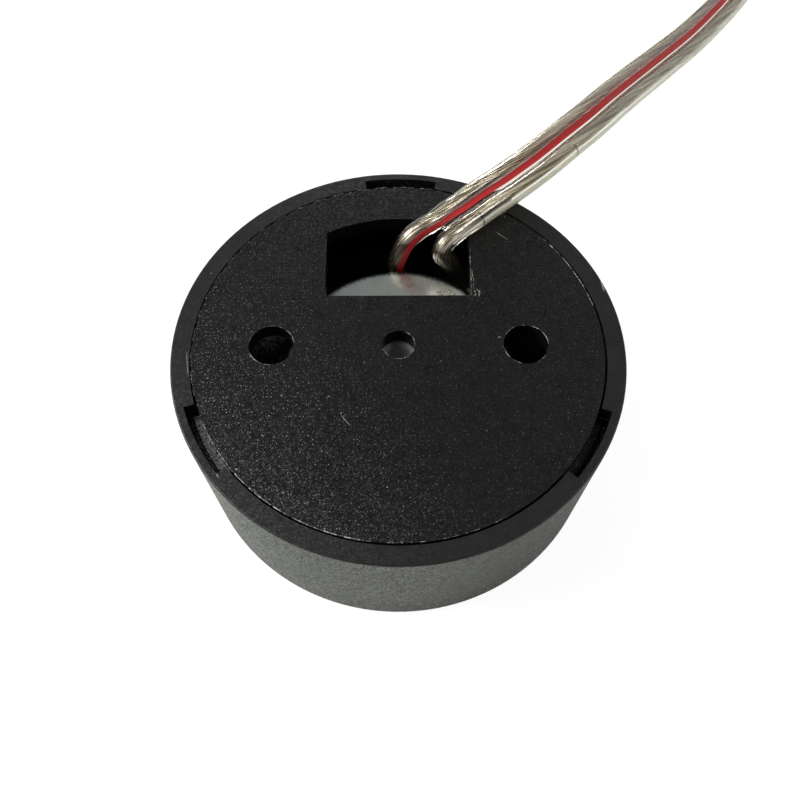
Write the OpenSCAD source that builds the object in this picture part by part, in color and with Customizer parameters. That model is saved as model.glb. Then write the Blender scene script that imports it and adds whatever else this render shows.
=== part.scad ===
// Surface-mount dome tweeter for a car, lying on its front rim with its back up.
// Millimetres, +Z up, the back of the cup at the top, +Y towards the cable window.
// The origin is on the surface that the front rim stands on, on the axis of the cup.

/* [Cup] */
// Outer diameter of the cup at its back rim
cup_d = 50; // [44:0.5:60]
// How much narrower the cup is at its front rim, for mould draft
cup_draft = 0.3; // [0:0.1:1]
// Height of the cup from front rim to back rim
cup_h = 19.3; // [18.5:0.1:26]
// Wall thickness of the cup at its front rim
cup_wall = 1.55; // [1.2:0.05:2.5]
// Radius of the small rounding on the front edge
front_edge = 0.5; // [0.2:0.05:0.8]
// Radius of the small rounding on the back edge
back_edge = 0.2; // [0.1:0.05:0.5]
// Number of ribs inside the cup
cup_ribs = 6; // [3:1:12]
// Thickness of a rib
rib_t = 1.2; // [0.8:0.1:2]
// Width of the flat back rim around the base plate
rim_w = 2.1; // [1.9:0.05:3]

/* [Base plate] */
// Thickness of the base plate
plate_t = 2; // [1.5:0.1:3]
// Gap all round between the plate and the rim
plate_gap = 0.25; // [0.15:0.05:0.5]
// Distance between the two screw holes
screw_pitch = 28.1; // [24:0.1:32]
// Diameter of the two screw holes
screw_d = 5; // [3.5:0.1:6]
// Diameter of the centre hole
centre_d = 3.6; // [3:0.1:5]
// Width of the cable window
window_w = 16.8; // [12:0.1:20]
// Distance from the axis to the straight side of the window
window_y = 6.55; // [5:0.05:9]
// Radius of the curved side of the window, about the axis
window_r = 17.75; // [14:0.05:19]
// Wall thickness of the skirt under the plate
skirt_t = 1.6; // [1:0.1:2.5]

/* [Twist lock] */
// Number of lugs
lugs = 3; // [2:1:4]
// Angle of the first entry notch
lug_start = 89; // [70:1:110]
// Angle that an entry notch spans
notch_deg = 21; // [16:0.5:26]
// Angle that a lug spans
lug_deg = 19.4; // [14:0.2:25]
// How far a lug stands out past the edge of the plate
lug_reach = 0.8; // [0.6:0.05:1]
// Height of a lug
lug_h = 1.2; // [0.8:0.1:2]
// Height of the track that the lugs turn in
track_h = 1.6; // [1.2:0.1:2.5]
// How deep the notches and the track are cut into the rim
track_depth = 1.15; // [1:0.05:1.2]
// Angle that the plate turns from entry to lock
lock_deg = 25; // [15:1:40]
// Angle of play between a lug and its end stops
stop_play = 0.6; // [0.3:0.1:2]
// Thickness of the ledge that the plate stands on
ledge_t = 1.3; // [1:0.1:2]

/* [Motor] */
// Height of the steel pot
pot_h = 8; // [7:0.1:8.5]
// Wall thickness of the pot
pot_wall = 2.15; // [1.5:0.05:2.3]
// Thickness of the floor of the pot
pot_floor = 2.2; // [1.5:0.1:2.5]
// Rounding of the pot's outer edge
pot_edge = 0.55; // [0.2:0.05:1]
// Free height between the pot and the base plate
pot_room = 1.8; // [1.2:0.1:3]
// How far the neodymium magnet stands back from the edge of the pole disc
magnet_inset = 0.7; // [0.4:0.05:1.5]
// Thickness of the pole disc
pole_t = 2.3; // [1.5:0.1:2.6]
// Thickness of the felt pad on the pole disc
pad_t = 0.7; // [0.3:0.1:1]

/* [Moving coil] */
// Inner diameter of the coil former
coil_d = 20; // [16:0.1:20]
// Wall thickness of the coil former
former_t = 0.15; // [0.12:0.01:0.2]
// Gap between the pole disc and the former
pole_gap = 0.3; // [0.25:0.01:0.4]
// Gap between the winding and the pot
coil_gap = 0.4; // [0.3:0.01:0.6]
// Build-up of the copper winding
winding_t = 0.3; // [0.2:0.01:0.35]
// Height of the copper winding
winding_h = 2.7; // [2:0.1:3]
// Height of the dome above its flange
dome_h = 3.2; // [2.5:0.1:3.4]
// Thickness of the dome and of the surround
film_t = 0.2; // [0.15:0.01:0.25]
// Radius of the half roll of the surround
roll_r = 1; // [0.8:0.05:1]

/* [Front] */
// Depth of the bezel behind the front rim
bezel_z = 0.4; // [0.3:0.05:1]
// Width of the bezel's face
bezel_w = 2.4; // [2:0.1:3]
// Thickness of the grille's sheet
grille_t = 0.5; // [0.4:0.05:0.8]
// Diameter of a hole in the grille
grille_hole = 1.6; // [1:0.1:2]
// Distance between the holes in the grille
grille_pitch = 2.4; // [2.2:0.1:3]
// Thickness of the flange of the face plate
flange_t = 2.8; // [2.4:0.1:3.2]
// Thickness of the foam gasket
gasket_t = 0.6; // [0.4:0.1:1]

/* [Terminals and lead] */
// Distance from the axis to the solder tags
tag_r = 17; // [16.6:0.1:18.5]
// Width of a solder tag
tag_w = 2.2; // [1.5:0.1:3]
// Thickness of a solder tag
tag_t = 0.4; // [0.3:0.05:0.6]
// Diameter of one insulated core of the lead
core_d = 2.4; // [2:0.05:2.6]
// Distance between the two cores of the lead
core_pitch = 3.1; // [2.6:0.05:3.2]
// Diameter of the stranded conductor in a core
strand_d = 1.2; // [0.8:0.05:1.4]
// Mean radius of the outermost turn of the coiled lead
coil_r = 32.3; // [30:0.1:36]
// Number of turns in the coiled lead
coil_turns = 3.75; // [2:0.25:5]
// Distance from one turn to the next
coil_step = 2.5; // [2.5:0.05:3]
// Thickness of the tie's band
tie_t = 0.5; // [0.4:0.05:0.8]

/* [Hidden] */
$fn = 96;
eps = 0.01;
fit = 0.05;            // clearance of pieces that are pressed or bonded together

// The cup and its twist lock.
rim_r = cup_d / 2 - rim_w;
notch_r = rim_r + track_depth;
bore_r = (cup_d - cup_draft) / 2 - cup_wall;
plate_r = rim_r - plate_gap;
lug_r = plate_r + lug_reach;
plate_z = cup_h - plate_t;
track_z = plate_z - track_h;
ledge_z = track_z - ledge_t;
skirt_r = plate_r - 0.1;
ledge_r = skirt_r - skirt_t + 0.4;
run_gap = 0.1;         // height that the plate runs above the ledge
stop_deg = 6;          // angle that an end stop spans
lug_step = 360 / lugs;

// The front, from the front rim inwards.
bezel_r = bore_r - 0.1;
bezel_hole_r = bezel_r - bezel_w;
lip_t = 0.7;           // thickness of the bezel over the edge of the grille
grille_z = bezel_z + lip_t;
grille_r = bezel_hole_r + 1.2;
grille_edge = 1;       // depth of the folded edge of the grille
flange_z = grille_z + grille_t + grille_edge;
flange_r = bore_r - 0.2;
flange_back = flange_z + flange_t;
rib_z = flange_back + gasket_t;
rib_r = bore_r - 1.1;
snap = 0.25;           // height of the snap bead on the bezel
snap_z = bezel_z + 0.9;

// The motor, hung behind the face plate, its back a fixed distance from the base plate.
pot_back = plate_z - pot_room;
pot_z = pot_back - pot_h;
floor_z = pot_back - pot_floor;
former_r = coil_d / 2;
former_out = former_r + former_t;
coil_out = former_out + winding_t;
pot_in_r = coil_out + coil_gap;
pot_r = pot_in_r + pot_wall;
pole_r = former_r - pole_gap;
shelf_z = pot_z - 1.1;                 // the face that the surround is bonded to
dome_flange_z = shelf_z - 2 * film_t;
roll_mid = coil_out + 0.35 + roll_r;
shelf_in = roll_mid - 0.4;
shelf_out = roll_mid + roll_r + 1.4;
collar_in = pot_r + fit;
collar_out = collar_in + 1.85;
collar_z = pot_z + 3;
flare_r = bezel_hole_r - 0.6;
dome_r = former_out + 0.15;
sphere_r = (dome_r * dome_r + dome_h * dome_h) / (2 * dome_h);

// The terminals. Side a is the striped core.
tag_deg = [90, 54.5];
tag_z = flange_back - 1;
tag_top = pot_z + 2.1;
solder_d = 2.6;
slot_deg = [98, 47];                   // where the tinsel leads leave the motor
tinsel_d = 0.3;

// The lead. Its route is [x, y, z, roll], with roll the tilt of its flat side.
lead_w = core_pitch + core_d;
lead_route = [[5.4, 15.1, 20.8, 0], [6.7, 16.3, 20.9, 2], [8.2, 17.5, 20.9, 3],
    [10.1, 19.1, 21, 4], [12.2, 20.8, 21, 5], [13.8, 22.2, 20.9, 6],
    [17.5, 25.8, 20.5, 7], [21.3, 30.1, 19.7, 8], [25.4, 35.2, 18.2, 12],
    [29.8, 41.2, 16.2, 14], [35, 48.3, 13.5, 16], [40.8, 56.1, 10.5, 14],
    [47, 64.4, 7.5, 12], [52.9, 72.7, 4.9, 8], [58.4, 80.7, 2.8, 4],
    [61.7, 85.9, 2, 10], [64.7, 91.6, 2, 25], [67, 97.6, 2.5, 45],
    [68.7, 103.8, 3.1, 68], [69.6, 110.1, 3.4, 84], [70, 116.5, 3.4, 90]];
core_a_route = [[4.2, 16.1, 20.8], [3.4, 15.5, 20.8], [2.4, 14.9, 20.6], [1.4, 14.4, 19.9],
    [0.7, 14.2, 18.6], [0.1, 14.3, 16.3], [-0.1, 14.5, 14.6], [-0.1, 15.3, 13.2],
    [0, 16.3, 12.2], [0, 16.9, 11.4], [0, 17, 10.6]];
core_b_route = [[6.2, 13.7, 20.8], [5.5, 13.1, 20.4], [5.1, 12.7, 19.2], [5.6, 12.8, 18],
    [6.2, 12.9, 17.2], [7.1, 13, 16.2], [8.2, 13.2, 15], [9.2, 13.5, 13.7],
    [9.8, 13.7, 12.4], [9.9, 13.8, 11.4], [9.9, 13.8, 10.6]];
core_end_z = core_a_route[len(core_a_route) - 1][2];
coil_c = [38, 121];
tie_gap = 0.15;
coil_z = tie_t + tie_gap;              // the tie's band passes under the turns
tail_route = [[34.8, 98.3, 3.4, 90], [39.2, 98.6, 3.3, 86], [42.6, 100.2, 3, 70],
    [45.3, 102.9, 2.5, 45], [46.9, 106.4, 1.9, 20], [47.3, 110.2, 1.5, 6],
    [46.2, 114.4, 1.3, 0]];
tip_len = 8;

// Points of an arc, for the outlines that are turned.
function arc(cx, cy, r, a0, a1, n = 6) =
    [for (i = [0:n]) [cx + r * cos(a0 + (a1 - a0) * i / n), cy + r * sin(a0 + (a1 - a0) * i / n)]];

// A flat sector of a ring, from angle a0 to angle a1.
module sector(r0, r1, a0, a1, h) {
    rotate([0, 0, a0]) rotate_extrude(angle = a1 - a0)
        translate([r0, 0]) square([r1 - r0, h]);
}

module ring(r0, r1, h) {
    difference() {
        cylinder(r = r1, h = h);
        translate([0, 0, -eps]) cylinder(r = r0, h = h + 2 * eps);
    }
}

// Catmull-Rom through the route's points, at segment i and share t.
function near(p, i) = p[max(0, min(len(p) - 1, i))];
function along(p, i, t) = 0.5 * ((2 * near(p, i)) + (near(p, i + 1) - near(p, i - 1)) * t
    + (2 * near(p, i - 1) - 5 * near(p, i) + 4 * near(p, i + 1) - near(p, i + 2)) * t * t
    + (3 * near(p, i) - near(p, i - 1) - 3 * near(p, i + 1) + near(p, i + 2)) * t * t * t);
function smooth(p, n) = concat(
    [for (i = [0:len(p) - 2], k = [0:n - 1]) along(p, i, k / n)], [p[len(p) - 1]]);
function xyz(v) = [v[0], v[1], v[2]];
function unit(v) = v / norm(v);
function ahead(p, i) = unit(xyz(near(p, i + 1)) - xyz(near(p, i - 1)));

// One ring of the sweep: the outline's x lies across the lead and its y through it.
function swept_ring(p, i, outline, up) = let (t = ahead(p, i), side = unit(cross(up, t)),
    top = cross(t, side), a = len(p[i]) > 3 ? p[i][3] : 0,
    x = side * cos(a) + top * sin(a), y = top * cos(a) - side * sin(a))
    [for (q = outline) xyz(p[i]) + x * q[0] + y * q[1]];

module sweep(p, outline, up) {
    n = len(outline);
    last = len(p) - 1;
    points = [for (i = [0:last]) each swept_ring(p, i, outline, up)];
    sides = [for (i = [0:last - 1], k = [0:n - 1]) each [
        [i * n + k, (i + 1) * n + k, (i + 1) * n + (k + 1) % n],
        [i * n + k, (i + 1) * n + (k + 1) % n, i * n + (k + 1) % n]]];
    caps = [for (k = [1:n - 2]) each [[0, k, k + 1],
        [last * n, last * n + k + 1, last * n + k]]];
    polyhedron(points, concat(sides, caps));
}

function round_outline(d, n = 8) = [for (k = [0:n - 1]) d / 2 * [cos(k * 360 / n), sin(k * 360 / n)]];
function flat_outline(w, d) = let (a = w / 2, b = w / 2 - d * 0.32, c = d / 2, e = d * 0.24)
    [[a, -e], [a, e], [b, c], [-b, c], [-a, e], [-a, -e], [-b, -c], [b, -c]];

module housing() {
    wall = [[bore_r, 0.4], [bore_r + 0.4, 0], each arc((cup_d - cup_draft) / 2 - front_edge,
        front_edge, front_edge, -90, 0), each arc(cup_d / 2 - back_edge, cup_h - back_edge,
        back_edge, 0, 90), [rim_r, cup_h], [rim_r, plate_z], [notch_r, plate_z],
        [notch_r, track_z], [ledge_r, track_z], [ledge_r, ledge_z], [bore_r - 1, ledge_z],
        [bore_r, ledge_z - 1], [bore_r, snap_z + 0.9], [bore_r + snap, snap_z + 0.6],
        [bore_r + snap, snap_z], [bore_r, snap_z - 0.3]];
    color("#26282a") {
        difference() {
            rotate_extrude() polygon(wall);
            // entry notches through the back rim
            for (i = [0:lugs - 1])
                rotate([0, 0, lug_start + i * lug_step - notch_deg / 2])
                    translate([0, 0, plate_z - eps])
                        sector(rim_r - 1, notch_r, 0, notch_deg, plate_t + 2 * eps);
        }
        // end stops in the track, on both sides of the lug's travel
        for (i = [0:lugs - 1], side = [0, 1])
            rotate([0, 0, lug_start + i * lug_step + (side == 0
                ? -lug_deg / 2 - lock_deg - stop_play - stop_deg : lug_deg / 2 + stop_play)])
                translate([0, 0, track_z - eps])
                    sector(lug_r - 0.6, notch_r + 0.3, 0, stop_deg, track_h + 2 * eps);
        // ribs that the driver is seated on
        for (i = [0:cup_ribs - 1])
            rotate([0, 0, (i + 0.5) * 360 / cup_ribs])
                translate([rib_r, -rib_t / 2, rib_z])
                    cube([bore_r + 0.5 - rib_r, rib_t, ledge_z + 0.5 - rib_z]);
    }
}

module base_plate() {
    color("#232524") difference() {
        union() {
            translate([0, 0, plate_z]) cylinder(r = plate_r, h = plate_t);
            translate([0, 0, track_z + run_gap])
                ring(skirt_r - skirt_t, skirt_r, track_h - run_gap + eps);
            for (i = [0:lugs - 1])
                translate([0, 0, track_z + (track_h - lug_h) / 2])
                    sector(skirt_r - 0.5, lug_r, lug_start + i * lug_step - lug_deg / 2,
                        lug_start + i * lug_step + lug_deg / 2, lug_h);
        }
        translate([0, 0, plate_z - 1]) cylinder(d = centre_d, h = plate_t + 2);
        for (side = [-1, 1])
            translate([side * screw_pitch / 2, 0, plate_z - 1])
                cylinder(d = screw_d, h = plate_t + 2);
        translate([0, 0, plate_z - 1]) intersection() {
            cylinder(r = window_r, h = plate_t + 2);
            translate([-window_w / 2, window_y, 0]) cube([window_w, window_r, plate_t + 2]);
        }
    }
}

// Staggered rows of holes inside radius r.
module hole_field(r) {
    row = grille_pitch * sin(60);
    n = ceil(r / row);
    for (j = [-n:n], i = [-n - 1:n + 1]) {
        x = (i + (j % 2 == 0 ? 0 : 0.5)) * grille_pitch;
        if (norm([x, j * row]) < r - grille_hole / 2)
            translate([x, j * row]) circle(d = grille_hole, $fn = 20);
    }
}

module grille() {
    color("#2b2d2e") {
        translate([0, 0, grille_z]) linear_extrude(grille_t) difference() {
            circle(r = grille_r);
            hole_field(bezel_hole_r - 0.3);
        }
        translate([0, 0, grille_z + grille_t - eps])
            ring(grille_r - grille_t, grille_r, grille_edge + eps);
    }
}

module bezel() {
    section = [[bezel_hole_r + 0.3, bezel_z], [bezel_r - 0.3, bezel_z],
        [bezel_r, bezel_z + 0.3], [bezel_r, snap_z], [bezel_r + snap, snap_z + 0.2],
        [bezel_r + snap, snap_z + 0.4], [bezel_r, snap_z + 0.6], [bezel_r, flange_z],
        [grille_r + fit, flange_z], [grille_r + fit, grille_z], [bezel_hole_r, grille_z],
        [bezel_hole_r, bezel_z + 0.3]];
    color("#1f2122") rotate_extrude() polygon(section);
}

module face_plate() {
    section = [[flare_r, flange_z], [flange_r, flange_z], [flange_r, flange_back],
        [collar_out + 1.1, flange_back], [collar_out, flange_back + 1.2],
        [collar_out, collar_z], [collar_in, collar_z], [collar_in, pot_z],
        [shelf_in, pot_z], [shelf_in, shelf_z], [shelf_out, shelf_z],
        [shelf_out, flange_back + 0.1]];
    color("#1f2122") difference() {
        rotate_extrude() polygon(section);
        // channels for the tinsel leads, and slots that hold the tags
        for (a = slot_deg)
            rotate([0, 0, a]) translate([shelf_in - 1, -0.5, shelf_z + 0.1])
                cube([collar_out - shelf_in + 2, 1, pot_z - shelf_z + 0.2]);
        for (a = tag_deg)
            rotate([0, 0, a]) translate([tag_r - tag_t / 2 - fit, -tag_w / 2 - fit, tag_z])
                cube([tag_t + 2 * fit, tag_w + 2 * fit, 3]);
    }
}

module gasket() {
    color("#3a3a3a") translate([0, 0, flange_back])
        ring(rib_r - 0.3, flange_r, gasket_t);
}

module magnet_pot() {
    section = [[0, floor_z], [pot_in_r, floor_z], [pot_in_r, pot_z], [pot_r, pot_z],
        each arc(pot_r - pot_edge, pot_back - pot_edge, pot_edge, 0, 90, 4), [0, pot_back]];
    color("#b4b8b6") rotate_extrude() polygon(section);
}

module magnet() {
    color("#8f9499") translate([0, 0, pot_z + pole_t])
        cylinder(r = pole_r - magnet_inset, h = floor_z - pot_z - pole_t);
}

module pole_disc() {
    color("#a7a9a8") translate([0, 0, pot_z]) cylinder(r = pole_r, h = pole_t);
}

module damping_pad() {
    color("#7d7a70") translate([0, 0, pot_z - pad_t]) cylinder(r = pole_r - 1.7, h = pad_t);
}

module dome() {
    color("#c9ccd0") {
        difference() {
            intersection() {
                translate([0, 0, dome_flange_z - dome_h + sphere_r]) sphere(r = sphere_r);
                translate([0, 0, dome_flange_z - dome_h - 1])
                    cylinder(r = dome_r, h = dome_h + 1);
            }
            translate([0, 0, dome_flange_z - dome_h + sphere_r]) sphere(r = sphere_r - film_t);
        }
        translate([0, 0, dome_flange_z - eps])
            ring(former_r - 0.1, roll_mid - roll_r - fit, film_t + eps);
    }
}

module surround() {
    lip_z = shelf_z - film_t;
    section = [[former_out + 0.1, shelf_z], [former_out + 0.1, lip_z],
        [roll_mid - roll_r, lip_z], each arc(roll_mid, lip_z, roll_r, 180, 360, 12),
        [shelf_out - 0.15, lip_z], [shelf_out - 0.15, shelf_z],
        [roll_mid + roll_r - film_t, shelf_z],
        each arc(roll_mid, lip_z, roll_r - film_t, 360, 180, 12),
        [roll_mid - roll_r + film_t, shelf_z]];
    color("#202020") rotate_extrude() polygon(section);
}

module coil_former() {
    z = dome_flange_z + film_t;
    color("#c8b06a") translate([0, 0, z])
        ring(former_r, former_out, pot_z + pole_t / 2 + winding_h / 2 + 0.6 - z);
}

module voice_coil() {
    color("#b5652b") translate([0, 0, pot_z + pole_t / 2 - winding_h / 2])
        ring(former_out, coil_out, winding_h);
}

// From beside the winding, through its channel in the face plate, to its tag.
module tinsel_lead(side) {
    z = shelf_z + 0.7;
    a0 = slot_deg[side];
    a1 = tag_deg[side];
    out = collar_out + 0.6;
    tag = tag_r - tag_t / 2;
    rise = 0.9;
    color("#c07a45") {
        rotate([0, 0, a0]) translate([coil_out + 0.3, 0, z]) rotate([0, 90, 0])
            cylinder(d = tinsel_d, h = out - coil_out - 0.3);
        rotate([0, 0, a0]) translate([out, 0, z]) sphere(d = tinsel_d * 1.05);
        rotate([0, 0, a0]) translate([out, 0, z]) cylinder(d = tinsel_d, h = rise);
        rotate([0, 0, a0]) translate([out, 0, z + rise]) sphere(d = tinsel_d * 1.05);
        rotate([0, 0, min(a0, a1)]) rotate_extrude(angle = abs(a1 - a0))
            translate([out, z + rise]) circle(d = tinsel_d, $fn = 16);
        rotate([0, 0, a1]) translate([out, 0, z + rise]) sphere(d = tinsel_d * 1.05);
        rotate([0, 0, a1]) translate([out, 0, z + rise]) rotate([0, 90, 0])
            cylinder(d = tinsel_d, h = tag - out - eps);
    }
}

module tag(side) {
    color("#c9c2a6") rotate([0, 0, tag_deg[side]])
        translate([tag_r - tag_t / 2, -tag_w / 2, tag_z + fit])
            cube([tag_t, tag_w, tag_top - tag_z - fit]);
}

// The blob closes over the top of its tag and reaches up to the end of its core.
module solder(side) {
    color("#bfc3c6") rotate([0, 0, tag_deg[side]]) difference() {
        translate([tag_r, 0, tag_top]) sphere(d = solder_d);
        translate([tag_r - tag_t / 2, -tag_w / 2, tag_z]) cube([tag_t, tag_w, tag_top - tag_z]);
        translate([tag_r - solder_d, -solder_d, core_end_z - fit])
            cube([2 * solder_d, 2 * solder_d, solder_d]);
    }
}

module core_striped() {
    color("#d8d5cc") sweep(smooth(core_a_route, 2), round_outline(core_d), [1, 0, 0]);
}

module core_plain() {
    color("#d8d5cc") sweep(smooth(core_b_route, 2), round_outline(core_d), [1, 0, 0]);
}

module cable() {
    color("#d8d5cc") sweep(smooth(lead_route, 2), flat_outline(lead_w, core_d), [0, 0, 1]);
}

module cable_coil() {
    inner = coil_r - coil_turns * coil_step - core_d / 2;
    outer = coil_r + core_d / 2;
    section = [[inner + 0.6, 0], [outer - 0.6, 0], [outer, 0.6], [outer, lead_w - 0.6],
        [outer - 0.6, lead_w], [inner + 0.6, lead_w], [inner, lead_w - 0.6], [inner, 0.6]];
    color("#d8d5cc") translate([coil_c[0], coil_c[1], coil_z]) rotate_extrude()
        polygon(section);
}

module cable_tail() {
    color("#d8d5cc") sweep(smooth(tail_route, 2), flat_outline(lead_w, core_d), [0, 0, 1]);
}

// The far end of one core, stripped and tinned.
module tinned_end(side) {
    path = smooth(tail_route, 2);
    last = path[len(path) - 1];
    way = last - path[len(path) - 2];
    color("#c4c8ca") translate([last[0], last[1], last[2]])
        rotate([0, 0, atan2(way[1], way[0])])
            translate([2 * fit, (0.5 - side) * core_pitch, 0]) rotate([0, 90, 0])
                cylinder(d = strand_d, h = tip_len);
}

// A band around the turns with its twisted ends on top.
module coil_tie() {
    inner = coil_r - coil_turns * coil_step - core_d / 2 - tie_gap;
    outer = coil_r + core_d / 2 + tie_gap;
    tall = lead_w + 2 * tie_gap;
    color("#303234") translate([coil_c[0], coil_c[1], 0]) rotate([0, 0, 200]) {
        difference() {
            translate([inner - tie_t, -1.75, 0])
                cube([outer - inner + 2 * tie_t, 3.5, tall + 2 * tie_t]);
            translate([inner, -3, tie_t]) cube([outer - inner, 6, tall]);
        }
        translate([(inner + outer) / 2, 0, tall + 2 * tie_t - eps]) cylinder(d = 1.4, h = 1.2);
        translate([(inner + outer) / 2, -3.4, tall + 2 * tie_t + 1.2]) rotate([-90, 0, 0])
            cylinder(d = 1.3, h = 6.8);
    }
}

housing();
base_plate();
grille();
bezel();
face_plate();
gasket();
magnet_pot();
magnet();
pole_disc();
damping_pad();
dome();
surround();
coil_former();
voice_coil();
tinsel_lead(0);  // tinsel_lead_a
tinsel_lead(1);  // tinsel_lead_b
tag(0);  // tag_a
tag(1);  // tag_b
solder(0);  // solder_a
solder(1);  // solder_b
core_striped();
core_plain();
cable();
cable_coil();
cable_tail();
tinned_end(0);  // tinned_end_a
tinned_end(1);  // tinned_end_b
coil_tie();
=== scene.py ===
# %% [markdown]
# # A car dome tweeter lying on its face, with its twin lead
# The tweeter is a moulded cup, 50 mm across. It lies with its grille down, so
# its back is on top: a round base plate that turns in a bayonet track, with a
# window through which the motor's plated steel pot shows. A clear twin lead
# comes out of the window. The exact shapes come from the CAD model, in metres,
# and stay as they are. Blender adds what plain solids don't have: the lead's
# real section and strands, the tie, the small marks of wear, and the finish of
# every surface.

import bpy
import numpy as np
from mathutils import Matrix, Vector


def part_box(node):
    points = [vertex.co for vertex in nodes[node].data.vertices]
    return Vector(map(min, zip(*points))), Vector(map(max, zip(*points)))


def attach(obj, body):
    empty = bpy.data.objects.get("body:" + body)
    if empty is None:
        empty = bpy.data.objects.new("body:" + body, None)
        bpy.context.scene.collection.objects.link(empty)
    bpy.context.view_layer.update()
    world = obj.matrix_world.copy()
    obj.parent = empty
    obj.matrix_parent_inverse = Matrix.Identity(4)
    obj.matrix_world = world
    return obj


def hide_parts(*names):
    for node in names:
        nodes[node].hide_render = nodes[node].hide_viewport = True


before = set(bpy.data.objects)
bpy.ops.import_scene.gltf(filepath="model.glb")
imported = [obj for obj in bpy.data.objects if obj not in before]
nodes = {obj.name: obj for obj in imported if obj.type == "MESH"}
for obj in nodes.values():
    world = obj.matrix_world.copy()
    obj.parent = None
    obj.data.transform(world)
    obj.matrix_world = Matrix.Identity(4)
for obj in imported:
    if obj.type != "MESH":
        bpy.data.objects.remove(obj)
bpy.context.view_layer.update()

MM = 0.001
scene = bpy.context.scene
scene.view_settings.view_transform = "Standard"
print("CAD nodes:", len(nodes))

# %% [markdown]
# ## The camera
# The back is looked at from the front and above, at 62 degrees, from about
# 10 cm away, so the lead runs off the top of the view. A camera can be turned by
# three angles or by a matrix. Here its axes are written out as vectors and put
# into its matrix, because each can be checked by itself: the camera looks down
# by the tilt, is rolled a little about its line of sight, and is swung a little
# about the vertical. Blender hides what is nearer than 0.1 m unless clip_start
# is smaller.

# %% Camera
TILT, ROLL, SWING = np.radians([62.172, -0.767, 1.186])
CAMERA_AT = np.array([-0.760, -47.262, 95.762]) * MM

look = np.array([0, np.cos(TILT), -np.sin(TILT)])
level = np.array([1.0, 0, 0])
over = np.array([0, np.sin(TILT), np.cos(TILT)])
right = np.cos(ROLL) * level - np.sin(ROLL) * over
above = np.sin(ROLL) * level + np.cos(ROLL) * over
swung = np.array([[np.cos(SWING), np.sin(SWING), 0], [-np.sin(SWING), np.cos(SWING), 0], [0, 0, 1]])
placed = np.eye(4)
placed[:3, :3] = swung @ np.stack([right, above, -look], axis=1)
placed[:3, 3] = CAMERA_AT

camera = bpy.data.objects.new("camera", bpy.data.cameras.new("camera"))
camera.data.sensor_width = 36
camera.data.lens = 36.62
camera.data.clip_start = 0.001
camera.data.clip_end = 20
camera.matrix_world = Matrix(placed.tolist())
scene.collection.objects.link(camera)
scene.camera = camera
print("camera at", placed[:3, 3].round(4), "looking along", (-placed[:3, 2]).round(3))

# %% [markdown]
# ## The lead's route
# The lead is a twin flex, 5.5 mm wide and 2.4 mm thick: two clear cores joined
# by a web. It leaves the window as two split cores, runs joined over the rim and
# down to the table, turns on edge and is wound into a neat flat coil, and its
# tinned ends lie inside the coil. A Blender curve with a bevel could draw it, but
# a flat section has to be rolled by the right angle everywhere. So the route is
# a table of places in mm with an angle each, the same points as in the CAD
# source, and the coil is worked out from its turns.

# %% Route points
LEAD_WIDTH, CORE_D, CORE_PITCH = 5.5, 2.4, 3.1

# x, y, z in mm and the roll in degrees: from the window over the rim to the coil
lead_route = np.array([
    [5.4, 15.1, 20.8, 0], [6.7, 16.3, 20.9, 2], [8.2, 17.5, 20.9, 3],
    [10.1, 19.1, 21, 4], [12.2, 20.8, 21, 5], [13.8, 22.2, 20.9, 6],
    [17.5, 25.8, 20.5, 7], [21.3, 30.1, 19.7, 8], [25.4, 35.2, 18.2, 12],
    [29.8, 41.2, 16.2, 14], [35, 48.3, 13.5, 16], [40.8, 56.1, 10.5, 14],
    [47, 64.4, 7.5, 12], [52.9, 72.7, 4.9, 8], [58.4, 80.7, 2.8, 4],
    [61.7, 85.9, 2, 10], [64.7, 91.6, 2, 25], [67, 97.6, 2.5, 45],
    [68.7, 103.8, 3.1, 68], [69.6, 110.1, 3.4, 84], [70, 116.5, 3.4, 90]])
# the two split cores, from the window down to their tags
core_a_route = np.array([
    [4.2, 16.1, 20.8], [3.4, 15.5, 20.8], [2.4, 14.9, 20.6], [1.4, 14.4, 19.9],
    [0.7, 14.2, 18.6], [0.1, 14.3, 16.3], [-0.1, 14.5, 14.6], [-0.1, 15.3, 13.2],
    [0, 16.3, 12.2], [0, 16.9, 11.4], [0, 17, 10.6]])
core_b_route = np.array([
    [6.2, 13.7, 20.8], [5.5, 13.1, 20.4], [5.1, 12.7, 19.2], [5.6, 12.8, 18],
    [6.2, 12.9, 17.2], [7.1, 13, 16.2], [8.2, 13.2, 15], [9.2, 13.5, 13.7],
    [9.8, 13.7, 12.4], [9.9, 13.8, 11.4], [9.9, 13.8, 10.6]])
# the tail, inside the coil
tail_route = np.array([
    [34.8, 98.3, 3.4, 90], [39.2, 98.6, 3.3, 86], [42.6, 100.2, 3, 70],
    [45.3, 102.9, 2.5, 45], [46.9, 106.4, 1.9, 20], [47.3, 110.2, 1.5, 6],
    [46.2, 114.4, 1.3, 0]])

COIL_CENTRE, COIL_R, COIL_Z = np.array([38.0, 121.0]), 32.3, 3.4
COIL_START, COIL_TURNS, COIL_STEP, COIL_POINT_EVERY = -8.0, 3.75, 2.5, 15.0
turned = np.arange(COIL_POINT_EVERY, 360 * COIL_TURNS, COIL_POINT_EVERY)
coil_r = COIL_R - COIL_STEP * turned / 360
coil_route = np.stack([
    COIL_CENTRE[0] + coil_r * np.cos(np.radians(COIL_START + turned)),
    COIL_CENTRE[1] + coil_r * np.sin(np.radians(COIL_START + turned)),
    np.full_like(turned, COIL_Z), np.full_like(turned, 90.0)], axis=1)
print("points: lead", len(lead_route), "coil", len(coil_route), "tail", len(tail_route))

# %% [markdown]
# ## A curve through the points
# Straight lines between the points would show as kinks, and a Bezier curve needs
# handles. A Catmull-Rom curve needs neither: it goes through every point, so the
# shape stays where the points say, and the roll angle is carried along as a
# fourth coordinate.


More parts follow.
